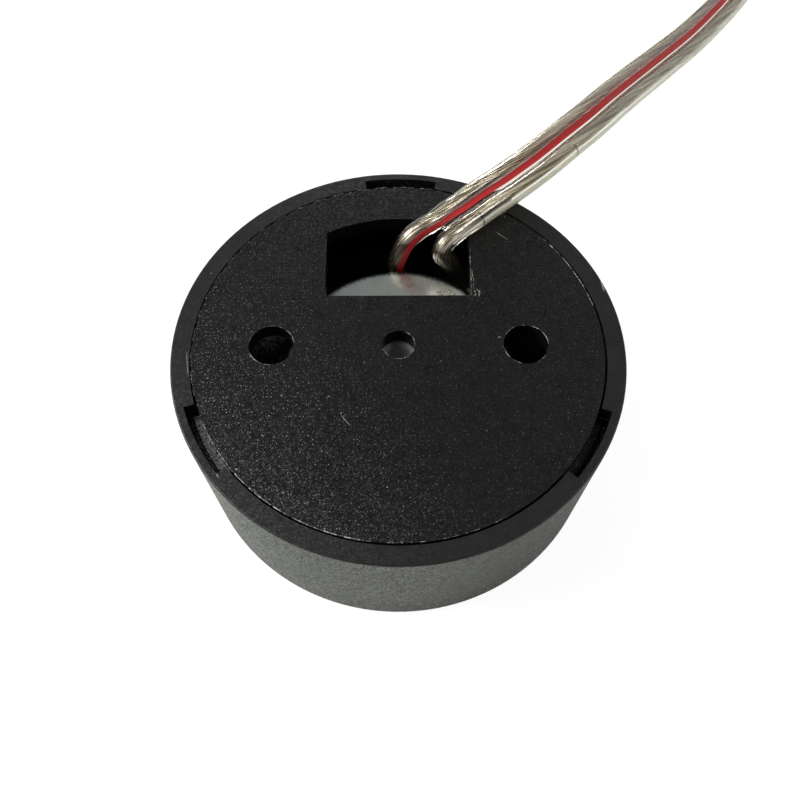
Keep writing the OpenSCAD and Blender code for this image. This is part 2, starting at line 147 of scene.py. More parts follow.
# %% Curves
def smooth(points, per):
    """Catmull-Rom: from p1 to p2 the curve is the cubic that leaves p1 parallel
    to p2 - p0 and reaches p2 parallel to p3 - p1. per steps go to each gap."""
    p = np.vstack([points[:1], points, points[-1:]])
    t = np.linspace(0, 1, per, endpoint=False)[None, :, None]
    p0, p1, p2, p3 = (p[i:len(p) - 3 + i][:, None, :] for i in range(4))
    curve = 0.5 * (2 * p1 + (p2 - p0) * t + (2 * p0 - 5 * p1 + 4 * p2 - p3) * t**2
                   + (3 * p1 - p0 - 3 * p2 + p3) * t**3)
    return np.vstack([curve.reshape(-1, p.shape[1]), points[-1:]])


def run_of(points):
    """The distance along a polyline at each of its points."""
    gaps = np.linalg.norm(np.diff(points[:, :3], axis=0), axis=1)
    return np.concatenate([[0], np.cumsum(gaps)])


def spaced(points, stations):
    """The polyline's values at distances along it: each column by straight lines between points."""
    run = run_of(points)
    return np.stack([np.interp(stations, run, column) for column in points.T], axis=1)


STEPS = 24
lead_curve = smooth(np.vstack([lead_route, coil_route, tail_route]), STEPS)
lead_long = run_of(lead_curve)[-1]
coil_from = run_of(smooth(lead_route, STEPS))[-1]
coil_to = lead_long - run_of(smooth(tail_route, STEPS))[-1]
print("lead: %.1f mm, in the coil from %.1f to %.1f mm" % (lead_long, coil_from, coil_to))


# %% Directions along a curve
def unit(vectors):
    """Each row divided by its length."""
    return vectors / np.linalg.norm(vectors, axis=1)[:, None]


def lead_axes(line):
    """Heading, and the flat section's two directions. across is left of the heading and level,
    rolled by the fourth column in degrees; up stands on both."""
    heading = unit(np.gradient(line[:, :3], axis=0))
    left = unit(np.cross([0, 0, 1.0], heading))
    top = np.cross(heading, left)
    a = np.radians(line[:, 3])[:, None]
    return heading, left * np.cos(a) + top * np.sin(a), top * np.cos(a) - left * np.sin(a)


def eased(share):
    """A soft step from 0 to 1: 3 t^2 - 2 t^3."""
    return share * share * (3 - 2 * share)


print("the lead leaves the window along", lead_axes(lead_curve)[0][0].round(3))

# %% [markdown]
# ## Surfaces on a grid
# Everything on the lead is one outline carried along a line. A curve's bevel can
# do that for one outline, but here outlines change on the way, so the rings of
# points are worked out as whole arrays. Neighbouring rings are joined by
# four-sided faces, and a fan closes each end.


# %% Rings of points and their faces
def carried(line, across, up, outline):
    """Rings of points: each is the line's point plus the outline's x along across and y along up."""
    outline = np.broadcast_to(outline, (len(line),) + outline.shape[-2:])
    return (line[:, None, :3] + across[:, None, :] * outline[..., :1]
            + up[:, None, :] * outline[..., 1:])


def ring_faces(rings, around):
    """Four-sided faces between neighbouring rings, as an array of point numbers."""
    i = np.arange(rings - 1)[:, None] * around
    j = np.arange(around)[None, :]
    k = (j + 1) % around
    return np.stack([i + j, i + k, i + around + k, i + around + j], axis=-1).reshape(-1, 4)


def fan_faces(first, around, middle):
    """Triangles from the points of a ring to one point in its middle."""
    j = np.arange(around)
    return np.stack([first + j, first + (j + 1) % around, np.full(around, middle)], axis=-1)


def closed_tube(rings):
    """Points, side faces and end faces of a closed tube. rings has the shape (rings, around, 3),
    and the two points in the ends' middles come last."""
    n, around = rings.shape[:2]
    points = np.vstack([rings.reshape(-1, 3), rings[0].mean(0), rings[-1].mean(0)])
    near_end = fan_faces(0, around, n * around)[:, ::-1]
    far_end = fan_faces((n - 1) * around, around, n * around + 1)
    return points, ring_faces(n, around), np.vstack([near_end, far_end])


print("faces between 3 rings of 4 points:", len(ring_faces(3, 4)))

# %% [markdown]
# ## From arrays to an object
# Faces have to point outwards. Recalculating the normals in Blender would do it,
# but the signed volume tells at once: it is negative if the faces point inwards,
# and then every face is turned round. Patterns that follow the lead need to know
# how far along and how far round a point is, so those two go onto the mesh as an
# attribute, which takes the place of an unwrapped UV map.


# %% New pieces
def outward(points, quads, ends):
    """A closed shell's faces, turned round if its volume, a sixth of the sum of a . (b x c) over
    its triangles, is negative."""
    triangles = np.vstack([quads[:, [0, 1, 2]], quads[:, [0, 2, 3]], ends])
    a, b, c = (points[triangles[:, i]] for i in range(3))
    if np.einsum("ij,ij->i", a, np.cross(b, c)).sum() / 6 < 0:
        return quads[:, ::-1], ends[:, ::-1]
    return quads, ends


SHARP = np.radians(66)  # edges sharper than this stay sharp, or the shading would round off the end faces


def new_piece(name, shells, body, materials, lay=None, end_material=0):
    """One object from closed shells in mm, each (points, side faces, end faces). It rides on a
    CAD body. lay, if there is one, goes onto the points as an attribute of the same name."""
    points, faces, kinds, base = [], [], [], 0
    for shell, quads, ends in shells:
        quads, ends = outward(shell, quads, ends)
        points.append(shell)
        faces += (quads + base).tolist() + (ends + base).tolist()
        kinds += [0] * len(quads) + [end_material] * len(ends)
        base += len(shell)
    mesh = bpy.data.meshes.new(name)
    mesh.from_pydata((np.vstack(points) * MM).tolist(), [], faces)
    for material in materials:
        mesh.materials.append(material)
    mesh.polygons.foreach_set("material_index", np.array(kinds, np.int32))
    mesh.polygons.foreach_set("use_smooth", np.full(len(faces), True))
    if lay is not None:
        field = mesh.attributes.new("lay", "FLOAT_VECTOR", "POINT")
        field.data.foreach_set("vector", lay.astype(np.float32).ravel())
    mesh.update()
    mesh.set_sharp_from_angle(angle=SHARP)
    piece = bpy.data.objects.new(name, mesh)
    scene.collection.objects.link(piece)
    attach(piece, body)
    print(name, "points", base, "faces", len(faces))
    return piece


def lay_of(stations, around):
    """Per point of a closed tube: the distance along in metres, and the share of the way round."""
    along = np.repeat(stations * MM, around)
    share = np.tile(np.arange(around) / around, len(stations))
    field = np.stack([along, share, np.zeros_like(along)], axis=1)
    return np.vstack([field, [stations[0] * MM, 0, 0], [stations[-1] * MM, 0, 0]])


# %% [markdown]
# ## Nodes for materials
# A material is a small tree of nodes. It could be built by hand in the shader
# editor, but as code it can be read and repeated. One function adds a node, sets
# its own settings, and gives each socket either a value or another node's
# output. Colours are written as sRGB hex, as a colour picker shows them, and one
# function turns them into the linear light that shaders work in.


# %% Node helpers
def linear(hex_colour):
    """sRGB to linear: x / 12.92 up to 0.04045, and ((x + 0.055) / 1.055) ^ 2.4 above."""
    s = np.array([int(hex_colour[i:i + 2], 16) / 255 for i in (1, 3, 5)])
    return (*np.where(s <= 0.04045, s / 12.92, ((s + 0.055) / 1.055) ** 2.4), 1.0)


def add(tree, kind, sockets=None, **settings):
    """Adds a node, with its settings, and a value or a link for each named or numbered socket."""
    made = tree.nodes.new("ShaderNode" + kind)
    for key, value in settings.items():
        setattr(made, key, value)
    for key, value in (sockets or {}).items():
        if isinstance(value, bpy.types.NodeSocket):
            tree.links.new(value, made.inputs[key])
        else:
            made.inputs[key].default_value = value
    return made


def new_material(name):
    """An empty material and its node tree."""
    made = bpy.data.materials.new(name)
    made.use_nodes = True
    made.node_tree.nodes.clear()
    print("material:", name)
    return made, made.node_tree


def shade(tree, height, relief, **sockets):
    """The Principled shader and the output. height is 0 to 1 and stands for relief in mm."""
    bump = add(tree, "Bump", {"Height": height, "Distance": relief * MM, "Strength": 1.0})
    sockets = {key.replace("_", " "): value for key, value in sockets.items()}
    shader = add(tree, "BsdfPrincipled", {**sockets, "Normal": bump.outputs["Normal"]})
    add(tree, "OutputMaterial", {"Surface": shader.outputs["BSDF"]})


print("half way up in sRGB is %.3f in linear light" % linear("#808080")[0])


# %% Two kinds of noise
def grain(tree, size, detail, fall=0.5, stretch=None):
    """Noise with lumps of about size mm, in Object coordinates, which stay with the piece. detail
    is the number of finer layers, fall is each one's share of the one before, and stretch scales
    the pattern by axis."""
    place = add(tree, "TexCoord").outputs["Object"]
    if stretch is not None:
        place = add(tree, "Mapping", {"Vector": place, "Scale": stretch}).outputs[0]
    noise = add(tree, "TexNoise", {"Vector": place, "Scale": 1 / (size * MM), "Detail": detail,
                                   "Roughness": fall})
    return noise.outputs["Fac"]


def drawn_grain(tree, along, around, detail):
    """Noise drawn out along the lead, in the lay attribute: along lumps to a metre and around
    lumps to the way round."""
    lay = add(tree, "Attribute", attribute_name="lay").outputs["Vector"]
    drawn = add(tree, "Mapping", {"Vector": lay, "Scale": (along, around, 1.0)})
    noise = add(tree, "TexNoise", {"Vector": drawn.outputs[0], "Scale": 1.0, "Detail": detail})
    return noise.outputs["Fac"]


# %% [markdown]
# ## The clear jacket's plastic
# The jacket is clear plasticised PVC, extruded, with the faint long waviness
# that an extruder leaves. It could be a painted tube, but the curved clear wall
# magnifies the strands until they fill the core, and no painted surface does
# that, so it is a glass-like skin round real strands. Lamps can't shine through
# a bending surface in a path tracer without noise, so a shadow ray sees a
# lightly tinted transparent skin instead.

# %% Clear PVC
WAVE_DEPTH = 0.03  # mm

clear_pvc, tree = new_material("clear_plasticised_pvc")
waves = drawn_grain(tree, 25.0, 22.0, 2.0)  # lumps of 40 mm along the lead and about 0.5 mm round it
nicks = grain(tree, 0.9, 3.0)
relief = add(tree, "Math", {0: nicks, 1: 0.25, 2: waves}, operation="MULTIPLY_ADD")
haze = add(tree, "MapRange", {"Value": nicks, "From Min": 0.35, "From Max": 0.75,
                              "To Min": 0.04, "To Max": 0.16})
bump = add(tree, "Bump", {"Height": relief.outputs[0], "Distance": WAVE_DEPTH * MM, "Strength": 1.0})
# painted shade: the wall's colour is painted greyer where the eye meets it at a flat angle, partly
# for the longer path through the plastic and partly for the darker edges that the surroundings give it
edge = add(tree, "LayerWeight", {"Blend": 0.32, "Normal": bump.outputs["Normal"]})
painted_edge_shade = add(tree, "MapRange", {"Value": edge.outputs["Facing"], "From Min": 0.38, "From Max": 0.92})
wall_colour = add(tree, "Mix", {0: painted_edge_shade.outputs[0], 6: linear("#e9e6dc"), 7: linear("#716e66")},
                  data_type="RGBA").outputs[2]

# %% Nicks in the clear edge
NICKS_AT, NICK_HALF_WIDTH = (4.0, 21.0), 0.12  # mm from the window
EDGE_AT, EDGE_HALF_WIDTH = 0.86, 0.07  # shares of the way round: just above the plain core's outermost line

lay = add(tree, "Attribute", attribute_name="lay").outputs["Vector"]
spot = add(tree, "SeparateXYZ", {0: lay})
on_edge = add(tree, "Math", {0: spot.outputs[1], 1: EDGE_AT, 2: EDGE_HALF_WIDTH}, operation="COMPARE")
for nick_at in NICKS_AT:
    near = add(tree, "Math", {0: spot.outputs[0], 1: nick_at * MM, 2: NICK_HALF_WIDTH * MM},
               operation="COMPARE")
    cut = add(tree, "Math", {0: near.outputs[0], 1: on_edge.outputs[0]}, operation="MULTIPLY")
    wall_colour = add(tree, "Mix", {0: cut.outputs[0], 6: wall_colour, 7: linear("#35332e")},
                      data_type="RGBA").outputs[2]
print("nicks at", NICKS_AT, "mm from the window")

# %% The clear PVC's shader
skin = add(tree, "BsdfPrincipled", {
    "Base Color": wall_colour, "Roughness": haze.outputs[0], "IOR": 1.53,
    "Transmission Weight": 1.0, "Normal": bump.outputs["Normal"]})
lets_through = add(tree, "BsdfTransparent", {"Color": linear("#e9e5da")})
rays = add(tree, "LightPath")
mixed = add(tree, "MixShader", {
    0: rays.outputs["Is Shadow Ray"], 1: skin.outputs[0], 2: lets_through.outputs[0]})
add(tree, "OutputMaterial", {"Surface": mixed.outputs[0]})

# inside the plastic, where the joined and the split jackets meet, there is no surface at all
pvc_join, tree = new_material("pvc_inside_join")
nothing = add(tree, "BsdfTransparent", {"Color": linear("#ffffff")})
add(tree, "OutputMaterial", {"Surface": nothing.outputs[0]})

# %% [markdown]
# ## The lead's jacket
# The section is a figure of eight: two round cores and a web whose sides sink
# between them. Two tubes and a flat strip would leave walls inside the clear
# plastic, and they would show. So the section is one closed outline, carried
# along the whole route, with rings close together where the lead is near and
# further apart in the coil.

# %% Outline of the twin lead
CORE_R = CORE_D / 2
WEB_HALF, SINK = 0.45, 3.4  # half the web's thickness in its middle in mm, and how late its sides rise
SHOULDER = 35  # degrees above the line through both cores, where the web meets a core
SHOULDER_X = CORE_PITCH / 2 - CORE_R * np.cos(np.radians(SHOULDER))
SHOULDER_Y = CORE_R * np.sin(np.radians(SHOULDER))


def valley(x):
    """Half the web's thickness at x: h + (y1 - h) (x / x1)^3.4, from h in the middle to y1 at the
    shoulder, where x is x1."""
    return WEB_HALF + (SHOULDER_Y - WEB_HALF) * np.abs(x / SHOULDER_X) ** SINK


def twin_outline(round_points=26, valley_points=5):
    """Half of it: the valley over the web, then the core's circle from shoulder to shoulder. The
    other half is the same, turned by half a turn."""
    x = np.linspace(-SHOULDER_X, SHOULDER_X, 2 * valley_points + 1)[:-1]
    over_web = np.stack([x, valley(x)], axis=1)
    a = np.radians(np.linspace(180 - SHOULDER, SHOULDER - 180, round_points, endpoint=False))
    over_core = np.stack([CORE_PITCH / 2 + CORE_R * np.cos(a), CORE_R * np.sin(a)], axis=1)
    half = np.vstack([over_web, over_core])
    return np.vstack([half, -half])


outline = twin_outline()
print("section, mm:", np.ptp(outline, axis=0).round(2))


# %% Joined jacket
def stations_along(near, in_coil, in_tail):
    """Distances along the lead's centre with a spacing each for the near run, the coil and the tail."""
    return np.concatenate([np.arange(0, coil_from, near), np.arange(coil_from, coil_to, in_coil),
                           np.arange(coil_to, lead_long, in_tail), [lead_long]])


stations = stations_along(0.5, 1.1, 0.5)
centre = spaced(lead_curve, stations)
_, across, up = lead_axes(centre)
tube = closed_tube(carried(centre, across, up, outline))
jacket = new_piece("lead_jacket", [tube], "cup", [clear_pvc, pvc_join], lay_of(stations, len(outline)),
                   end_material=1)
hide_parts("cable", "cable_coil", "cable_tail")

# %% [markdown]
# ## The two cores
# At the window the web is torn and each core goes its own way down to its tag.
# The inside of a core could be drawn only where it shows, but then its twist
# would start anew at the split. So each core has one line from the tag to the
# far tip: it meets the joined lead at its first ring and then runs beside the
# lead's centre. The jackets of the split cores are separate pieces, and the last
# bit before the solder is stripped.


# %% Lines of the cores
RINGS_EVERY = (0.3, 1.15, 0.4)  # mm: near run, coil, tail
SPLIT_RINGS_EVERY = 0.22
TOWARD = 1.2  # mm along the joined lead, where a split core's line is headed, so that the directions agree
EASE_FROM, EASE_OVER = 1.0, 4.0  # mm: how the line leaves the core's middle


def core_line(route, side, off_centre=0.0):
    """One core from its tag to the far tip: place, across, up, and the number of points before
    the split. side is 1 or -1. off_centre moves the line within the core, past the split. Before
    the split, across is the lead's first across, made square to the heading."""
    joined = spaced(lead_curve, stations_along(*RINGS_EVERY))
    _, x, y = lead_axes(joined)
    middle = joined[:, :3] + side * CORE_PITCH / 2 * x
    run = run_of(joined)
    inside = np.minimum(run - EASE_FROM, run[-1] - run) / EASE_OVER
    beside = middle + off_centre * eased(np.clip(inside, 0, 1))[:, None] * x
    down = route[-1:] + [[0, 0, -0.4]]
    guide = beside[int(np.searchsorted(run, TOWARD))][None, :]
    split = smooth(np.vstack([down, route[:0:-1], beside[:1], guide]), STEPS)[:-STEPS]
    split = spaced(split, np.arange(0, run_of(split)[-1] - 0.1, SPLIT_RINGS_EVERY))
    heading = unit(np.gradient(np.vstack([split, beside[:1]]), axis=0))[:-1]
    x_split = unit(x[0] - (heading @ x[0])[:, None] * heading)
    y_split = np.cross(heading, x_split)
    return np.vstack([split, beside]), np.vstack([x_split, x]), np.vstack([y_split, y]), len(split)


core_a = core_line(core_a_route, 1)
core_b = core_line(core_b_route, -1)
print("split cores, mm:", [round(float(run_of(line)[split]), 1) for line, _, _, split in (core_a, core_b)])

# %% Jackets of the split cores
STRIPPED = 1.7  # mm bare before the tag
JACKET_FROM = STRIPPED + 0.4  # the lines start 0.4 mm inside the tag
angles = np.linspace(0, 2 * np.pi, 40, endpoint=False)
circle = CORE_R * np.stack([np.cos(angles), np.sin(angles)], axis=1)
for name, node, (line, x, y, split) in (("core_jacket_striped", "core_striped", core_a),
                                        ("core_jacket_plain", "core_plain", core_b)):
    run = run_of(line)
    part = slice(int(np.searchsorted(run, JACKET_FROM)), split + 1)
    tube = closed_tube(carried(line[part], x[part], y[part], circle))
    piece = new_piece(name, [tube], "cup", [clear_pvc, pvc_join], lay_of(run[part], len(circle)),
                      end_material=1)
    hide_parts(node)

# %% [markdown]
# ## Tinned strands
# Each core holds 20 fine tinned copper strands, twisted with a long lay. Twenty
# thin tubes would take twenty times the faces, so a bundle is one twisted tube
# with a scalloped outline: each scallop is an arc of one strand's circle. It
# turns once in 46 mm. The jacket's curve magnifies it, so it is drawn 1.1 mm
# across in a 2.4 mm core. At the far end the strands come out of the cut jacket
# and are tinned together. Their colour drifts between silver and the pale gold
# of copper that shows through thin tin, and it follows the strands. Its dark
# streaks are painted shade: the strands are drawn darker than tinned copper, for
# the shade in the grooves between them.

# %% Tinned copper
strand_metal, tree = new_material("tinned_copper_strands")
streaks = drawn_grain(tree, 60.0, 14.0, 3.0)  # 17 mm along the strands, and one or two strands round them
tone = add(tree, "ValToRGB", {"Fac": streaks})
low, high = tone.color_ramp.elements
low.position = 0.36
# painted shade: the dark end of the ramp stands in for the shade between the strands
low.color = linear("#665c50")
high.position = 0.64
high.color = linear("#c9c4b6")
tone.color_ramp.elements.new(0.48).color = linear("#9a9182")
dull = add(tree, "MapRange", {"Value": streaks, "From Min": 0.3, "From Max": 0.7,
                              "To Min": 0.34, "To Max": 0.18})
shade(tree, streaks, 0.02, Base_Color=tone.outputs[0], Metallic=1.0, Roughness=dull.outputs[0])

# %% Scalloped outline
STRANDS, BUNDLE_R, STRAND_SHARE = 20, 0.56, 0.155


def scallops(around_each=4):
    """Outline radius and angle: r = d cos a + sqrt(s^2 - d^2 sin^2 a), where a is the angle from
    the nearest strand's middle, d is that middle's distance and s is the strand's radius."""
    s = BUNDLE_R * STRAND_SHARE
    d = BUNDLE_R - s
    a = (np.arange(around_each) - (around_each - 1) / 2) / around_each * 2 * np.pi / STRANDS
    r = d * np.cos(a) + np.sqrt(np.maximum(s**2 - (d * np.sin(a)) ** 2, 0))
    whole = np.add.outer(np.arange(STRANDS) * 2 * np.pi / STRANDS, a).ravel()
    return np.tile(r, STRANDS), whole


radii, around = scallops()
print("points round a bundle:", len(radii), "radius from %.3f to %.3f mm" % (radii.min(), radii.max()))

# %% Strand bundles
TURN_LENGTH, TIP = 46.0, 8.0  # mm: one twist, and the bare tip past the jacket
TIP_WIDTHS = ([0, 1.0, TIP - 0.6, TIP - 0.2, TIP], [1.0, 1.05, 1.05, 0.8, 0.35])  # mm past the jacket, width
LOOSER = ([-3.0, 2.0], [1.22, 1.0])  # mm past the split, width: looser where the cores are split
SOLDERED = ([0, 1.5, TIP], [0.0, 0.75, 0.9])  # mm past the jacket, how far solder fills the grooves

tip_steps = np.concatenate([np.arange(0.4, TIP - 0.6, 0.6), [TIP - 0.5, TIP - 0.2, TIP - 0.03]])
# both bundles lie nearer the striped side, so the plain core has clear plastic outside its strands
bundle_a = core_line(core_a_route, 1, 0.24)
bundle_b = core_line(core_b_route, -1, 0.42)
for name, old, (line, x, y, split), phase in (("strands_striped", "tinned_end_a", bundle_a, 0.0),
                                              ("strands_plain", "tinned_end_b", bundle_b, 1.3)):
    # the tinned tips go straight on past the jacket's end
    way = unit(line[-1:, :] - line[-2:-1, :])[0]
    line = np.vstack([line, line[-1] + tip_steps[:, None] * way])
    x, y = (np.vstack([v, np.repeat(v[-1:], len(tip_steps), 0)]) for v in (x, y))
    run = run_of(line)
    past = np.clip(run - (run[-1] - TIP), 0, None)
    width = np.interp(past, *TIP_WIDTHS) * np.interp(run - run[split], *LOOSER)
    flat = np.interp(past, *SOLDERED)[:, None]
    r = width[:, None] * (radii * (1 - flat) + BUNDLE_R * flat)
    a = around + phase + (2 * np.pi * run / TURN_LENGTH)[:, None]
    tube = closed_tube(carried(line, x, y, np.stack([r * np.cos(a), r * np.sin(a)], axis=-1)))
    piece = new_piece(name, [tube], "cup", [strand_metal], lay_of(run, len(radii)))
    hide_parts(old)

# %% [markdown]
# ## The red stripe
# One core carries an opaque red stripe along its inner shoulder, laid on the
# jacket as it is extruded. The clear jacket could be coloured there, but the
# strands would shine through, and the stripe covers them. So it is a thin closed
# band that stands 0.02 mm out of the jacket, with its own soft PVC. Where the
# lead splits, its outline changes softly from the joined section to the core's.

# %% Red PVC
red_pvc, tree = new_material("opaque_red_pvc")
drift = drawn_grain(tree, 180.0, 6.0, 2.0)
tone = add(tree, "Mix", {0: drift, 6: linear("#b2171c"), 7: linear("#c62428")}, data_type="RGBA")
shade(tree, drift, 0.01, Base_Color=tone.outputs[2], Roughness=0.55, IOR=1.45)

# %% Outline of the stripe
PROUD, SUNK = 0.022, 0.03  # mm out of the jacket and into it
HALF = 7  # points on each side of the band


def band_round(line):
    """A closed outline from a line of points: PROUD outside it and back SUNK inside it."""
    t = unit(np.gradient(line, axis=0))
    out = np.stack([t[:, 1], -t[:, 0]], axis=1)
    out *= np.sign((out * line).sum(1))[:, None]
    return np.vstack([line + PROUD * out, (line - SUNK * out)[::-1]])


def stripe_on_core(start, end=86):
    """On a split core: the circle from start to end degrees off the top, towards the other core."""
    a = np.radians(np.linspace(start, end, HALF))
    return band_round(np.stack([-CORE_R * np.sin(a), CORE_R * np.cos(a)], axis=1))


def stripe_on_lead(start, end=-0.05):
    """On the joined lead, in the core's own section: the circle from start degrees off the top,
    and then the valley, to just past the web's middle."""
    c = CORE_PITCH / 2
    x = np.linspace(c - CORE_R * np.sin(np.radians(start)), end, HALF)
    on_circle = np.sqrt(np.maximum(CORE_R**2 - (x - c) ** 2, 0))
    return band_round(np.stack([x - c, np.where(x > SHOULDER_X, on_circle, valley(x))], axis=1))


print("stripe's width on the lead, mm: %.2f" % run_of(stripe_on_lead(40)[:HALF])[-1])

# %% Red stripe
STRIPE_FROM = STRIPPED + 0.6
CHANGE_FROM, CHANGE_OVER = -2.4, 5.4  # mm from the split: from the core's outline to the lead's
WIDER_FROM, WIDER_OVER = 4, 24

line, x, y, split = core_a
run = run_of(line)
first = int(np.searchsorted(run, STRIPE_FROM))
past_split = (run[first:] - run[split])[:, None, None]
joined_share = eased(np.clip((past_split - CHANGE_FROM) / CHANGE_OVER, 0, 1))
wider = np.clip((past_split - WIDER_FROM) / WIDER_OVER, 0, 1)
on_lead = stripe_on_lead(54) * (1 - wider) + stripe_on_lead(40) * wider
outline = stripe_on_core(50) * (1 - joined_share) + on_lead * joined_share
tube = closed_tube(carried(line[first:], x[first:], y[first:], outline))
stripe = new_piece("red_stripe", [tube], "cup", [red_pvc], lay_of(run[first:], outline.shape[1]))

# %% [markdown]
# ## The tie round the coil
# A twist tie holds the coil: a flat strip with a wire along its middle, bent
# round the turns, with its ends twisted together and splayed. A bevelled curve
# would give the loop but not the strip's section, which is thick over the wire
# and thin beside it. So the section is carried round a rounded rectangle, and
# the knot is a two-lobed outline that turns quickly along a short line.

# %% Soft PVC of the tie
tie_plastic, tree = new_material("soft_pvc_tie")
rub = grain(tree, 0.5, 4.0)
tone = add(tree, "Mix", {0: rub, 6: linear("#1f2021"), 7: linear("#34373a")}, data_type="RGBA")
sheen = add(tree, "MapRange", {"Value": rub, "To Min": 0.3, "To Max": 0.6})
shade(tree, rub, 0.02, Base_Color=tone.outputs[2], Roughness=sheen.outputs[0], IOR=1.5)

# %% Strip of the tie
TIE_AT = np.radians(200)
out_way = np.array([np.cos(TIE_AT), np.sin(TIE_AT), 0])
side_way = np.array([-np.sin(TIE_AT), np.cos(TIE_AT), 0])
up_way = np.array([0, 0, 1])
coil_middle = np.array([*COIL_CENTRE, 0])

# the loop, as distance from the coil's middle and height, in mm
LOOP_IN, LOOP_OUT, LOOP_LOW, LOOP_HIGH, CORNER = 21.33, 33.89, 0.26, 6.54, 0.7
a = np.linspace(0, 2 * np.pi, 64, endpoint=False) + np.pi / 64
loop = np.stack([
    (LOOP_IN + LOOP_OUT) / 2 + np.sign(np.cos(a)) * ((LOOP_OUT - LOOP_IN) / 2 - CORNER) + CORNER * np.cos(a),
    (LOOP_LOW + LOOP_HIGH) / 2 + np.sign(np.sin(a)) * ((LOOP_HIGH - LOOP_LOW) / 2 - CORNER)
    + CORNER * np.sin(a)], axis=1)
normal = np.stack([np.cos(a), np.sin(a)], axis=1)

# the strip's section: 3.5 mm wide, 0.18 mm thick, and 0.48 mm over the wire
v = np.linspace(-1.75, 1.75, 15)
thick = 0.09 + 0.15 * np.exp(-(v / 0.4) ** 2)
strip = np.concatenate([np.stack([v, thick], 1), np.stack([v, -thick], 1)[::-1]])

away = loop[:, None, :1] + normal[:, None, :1] * strip[:, 1:]
high = loop[:, None, 1:] + normal[:, None, 1:] * strip[:, 1:]
band = coil_middle + away * out_way + strip[:, :1] * side_way + high * up_way
band_quads = ring_faces(len(a) + 1, len(strip)) % (len(a) * len(strip))  # the last ring is the first
band_shell = (band.reshape(-1, 3), band_quads, np.zeros((0, 3), int))
print("tie's loop, mm:", np.ptp(loop, axis=0).round(2))

# %% Knot of the tie
KNOT_R = (21.575 + 33.65) / 2  # mm from the coil's middle


def twisted_rod(points, big, small, turn_length):
    """A two-lobed outline, big by small, carried along a line and turned evenly, once in
    turn_length. points give side, height and out, in mm. The ends are a little thinner."""
    line = smooth(np.array(points, float), 12)
    place = (coil_middle + (KNOT_R + line[:, 2:3]) * out_way + line[:, :1] * side_way
             + line[:, 1:2] * up_way)
    heading = unit(np.gradient(place, axis=0))
    x = unit(out_way - (heading @ out_way)[:, None] * heading)
    y = np.cross(heading, x)
    b = np.linspace(0, 2 * np.pi, 16, endpoint=False)
    px, py = big * np.cos(b), small * np.sin(b)
    turn = (2 * np.pi * run_of(place) / turn_length)[:, None]
    turned = np.stack([px * np.cos(turn) - py * np.sin(turn),
                       px * np.sin(turn) + py * np.cos(turn)], axis=-1)
    width = np.ones(len(place))
    width[[0, -1]] = 0.6
    return closed_tube(carried(place, x, y, turned * width[:, None, None]))


knot = twisted_rod([[0, 6.5, 0], [0.05, 7.0, 0.05], [-0.05, 7.5, 0], [0, 8.0, 0]], 0.62, 0.3, 1.7)
end_one = twisted_rod([[-0.1, 7.7, 0.2], [0.7, 7.95, 0.3], [1.9, 7.85, 0.1], [3.3, 8.1, -0.3]],
                      0.42, 0.2, 9.0)
end_two = twisted_rod([[0.1, 7.7, -0.2], [-0.7, 7.95, -0.2], [-2.0, 8.0, 0.1], [-3.3, 7.8, 0.3]],
                      0.42, 0.2, 8.0)
tie = new_piece("coil_tie_strip", [band_shell, knot, end_one, end_two], "cup", [tie_plastic])
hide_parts("coil_tie")

# %% [markdown]
# ## The painted pale line in the plain core
# The plain core's strands lie against its inner side. On its outer side the
# clear plastic shows a pale line all along the core, whatever lies behind it,
# where it carries the light of the white floor. The clear jacket here gives no
# such line, so it is painted light: a thin pale crescent inside the jacket, which
# the jacket's curve widens.

# %% Painted pale line
painted_line_shine, tree = new_material("painted_pale_line_in_pvc")
drift = drawn_grain(tree, 150.0, 3.0, 3.0)
# painted highlight: the pale greys stand in for the floor's light in the clear plastic
tone = add(tree, "Mix", {0: drift, 6: linear("#a8a89c"), 7: linear("#dcdcd0")}, data_type="RGBA")
shade(tree, drift, 0.03, Base_Color=tone.outputs[2], Roughness=0.4, IOR=1.4)

PALE_AT, PALE_HALF_HEIGHT, PALE_HALF_THICKNESS, PALE_BEND = -0.75, 0.42, 0.1, 0.1  # mm, from the core's middle
PALE_TAPER = 6.0  # mm at each end
line, x, y, split = core_b
run = run_of(line)
chosen = slice(int(np.searchsorted(run, run[split] - 1.0)), len(line) - 2, 2)
along = run[chosen]
b = np.linspace(0, 2 * np.pi, 8, endpoint=False)
grown = np.clip(np.minimum(along - along[0], along[-1] - along) / PALE_TAPER, 0.12, 1)[:, None]
crescent = np.stack([PALE_AT + PALE_HALF_THICKNESS * grown * np.cos(b) + PALE_BEND * np.sin(b) ** 2,
                     PALE_HALF_HEIGHT * grown * np.sin(b)], axis=-1)
tube = closed_tube(carried(line[chosen], x[chosen], y[chosen], crescent))
painted_line = new_piece("painted_pale_line_plain_core", [tube], "cup", [painted_line_shine], lay_of(along, len(b)))
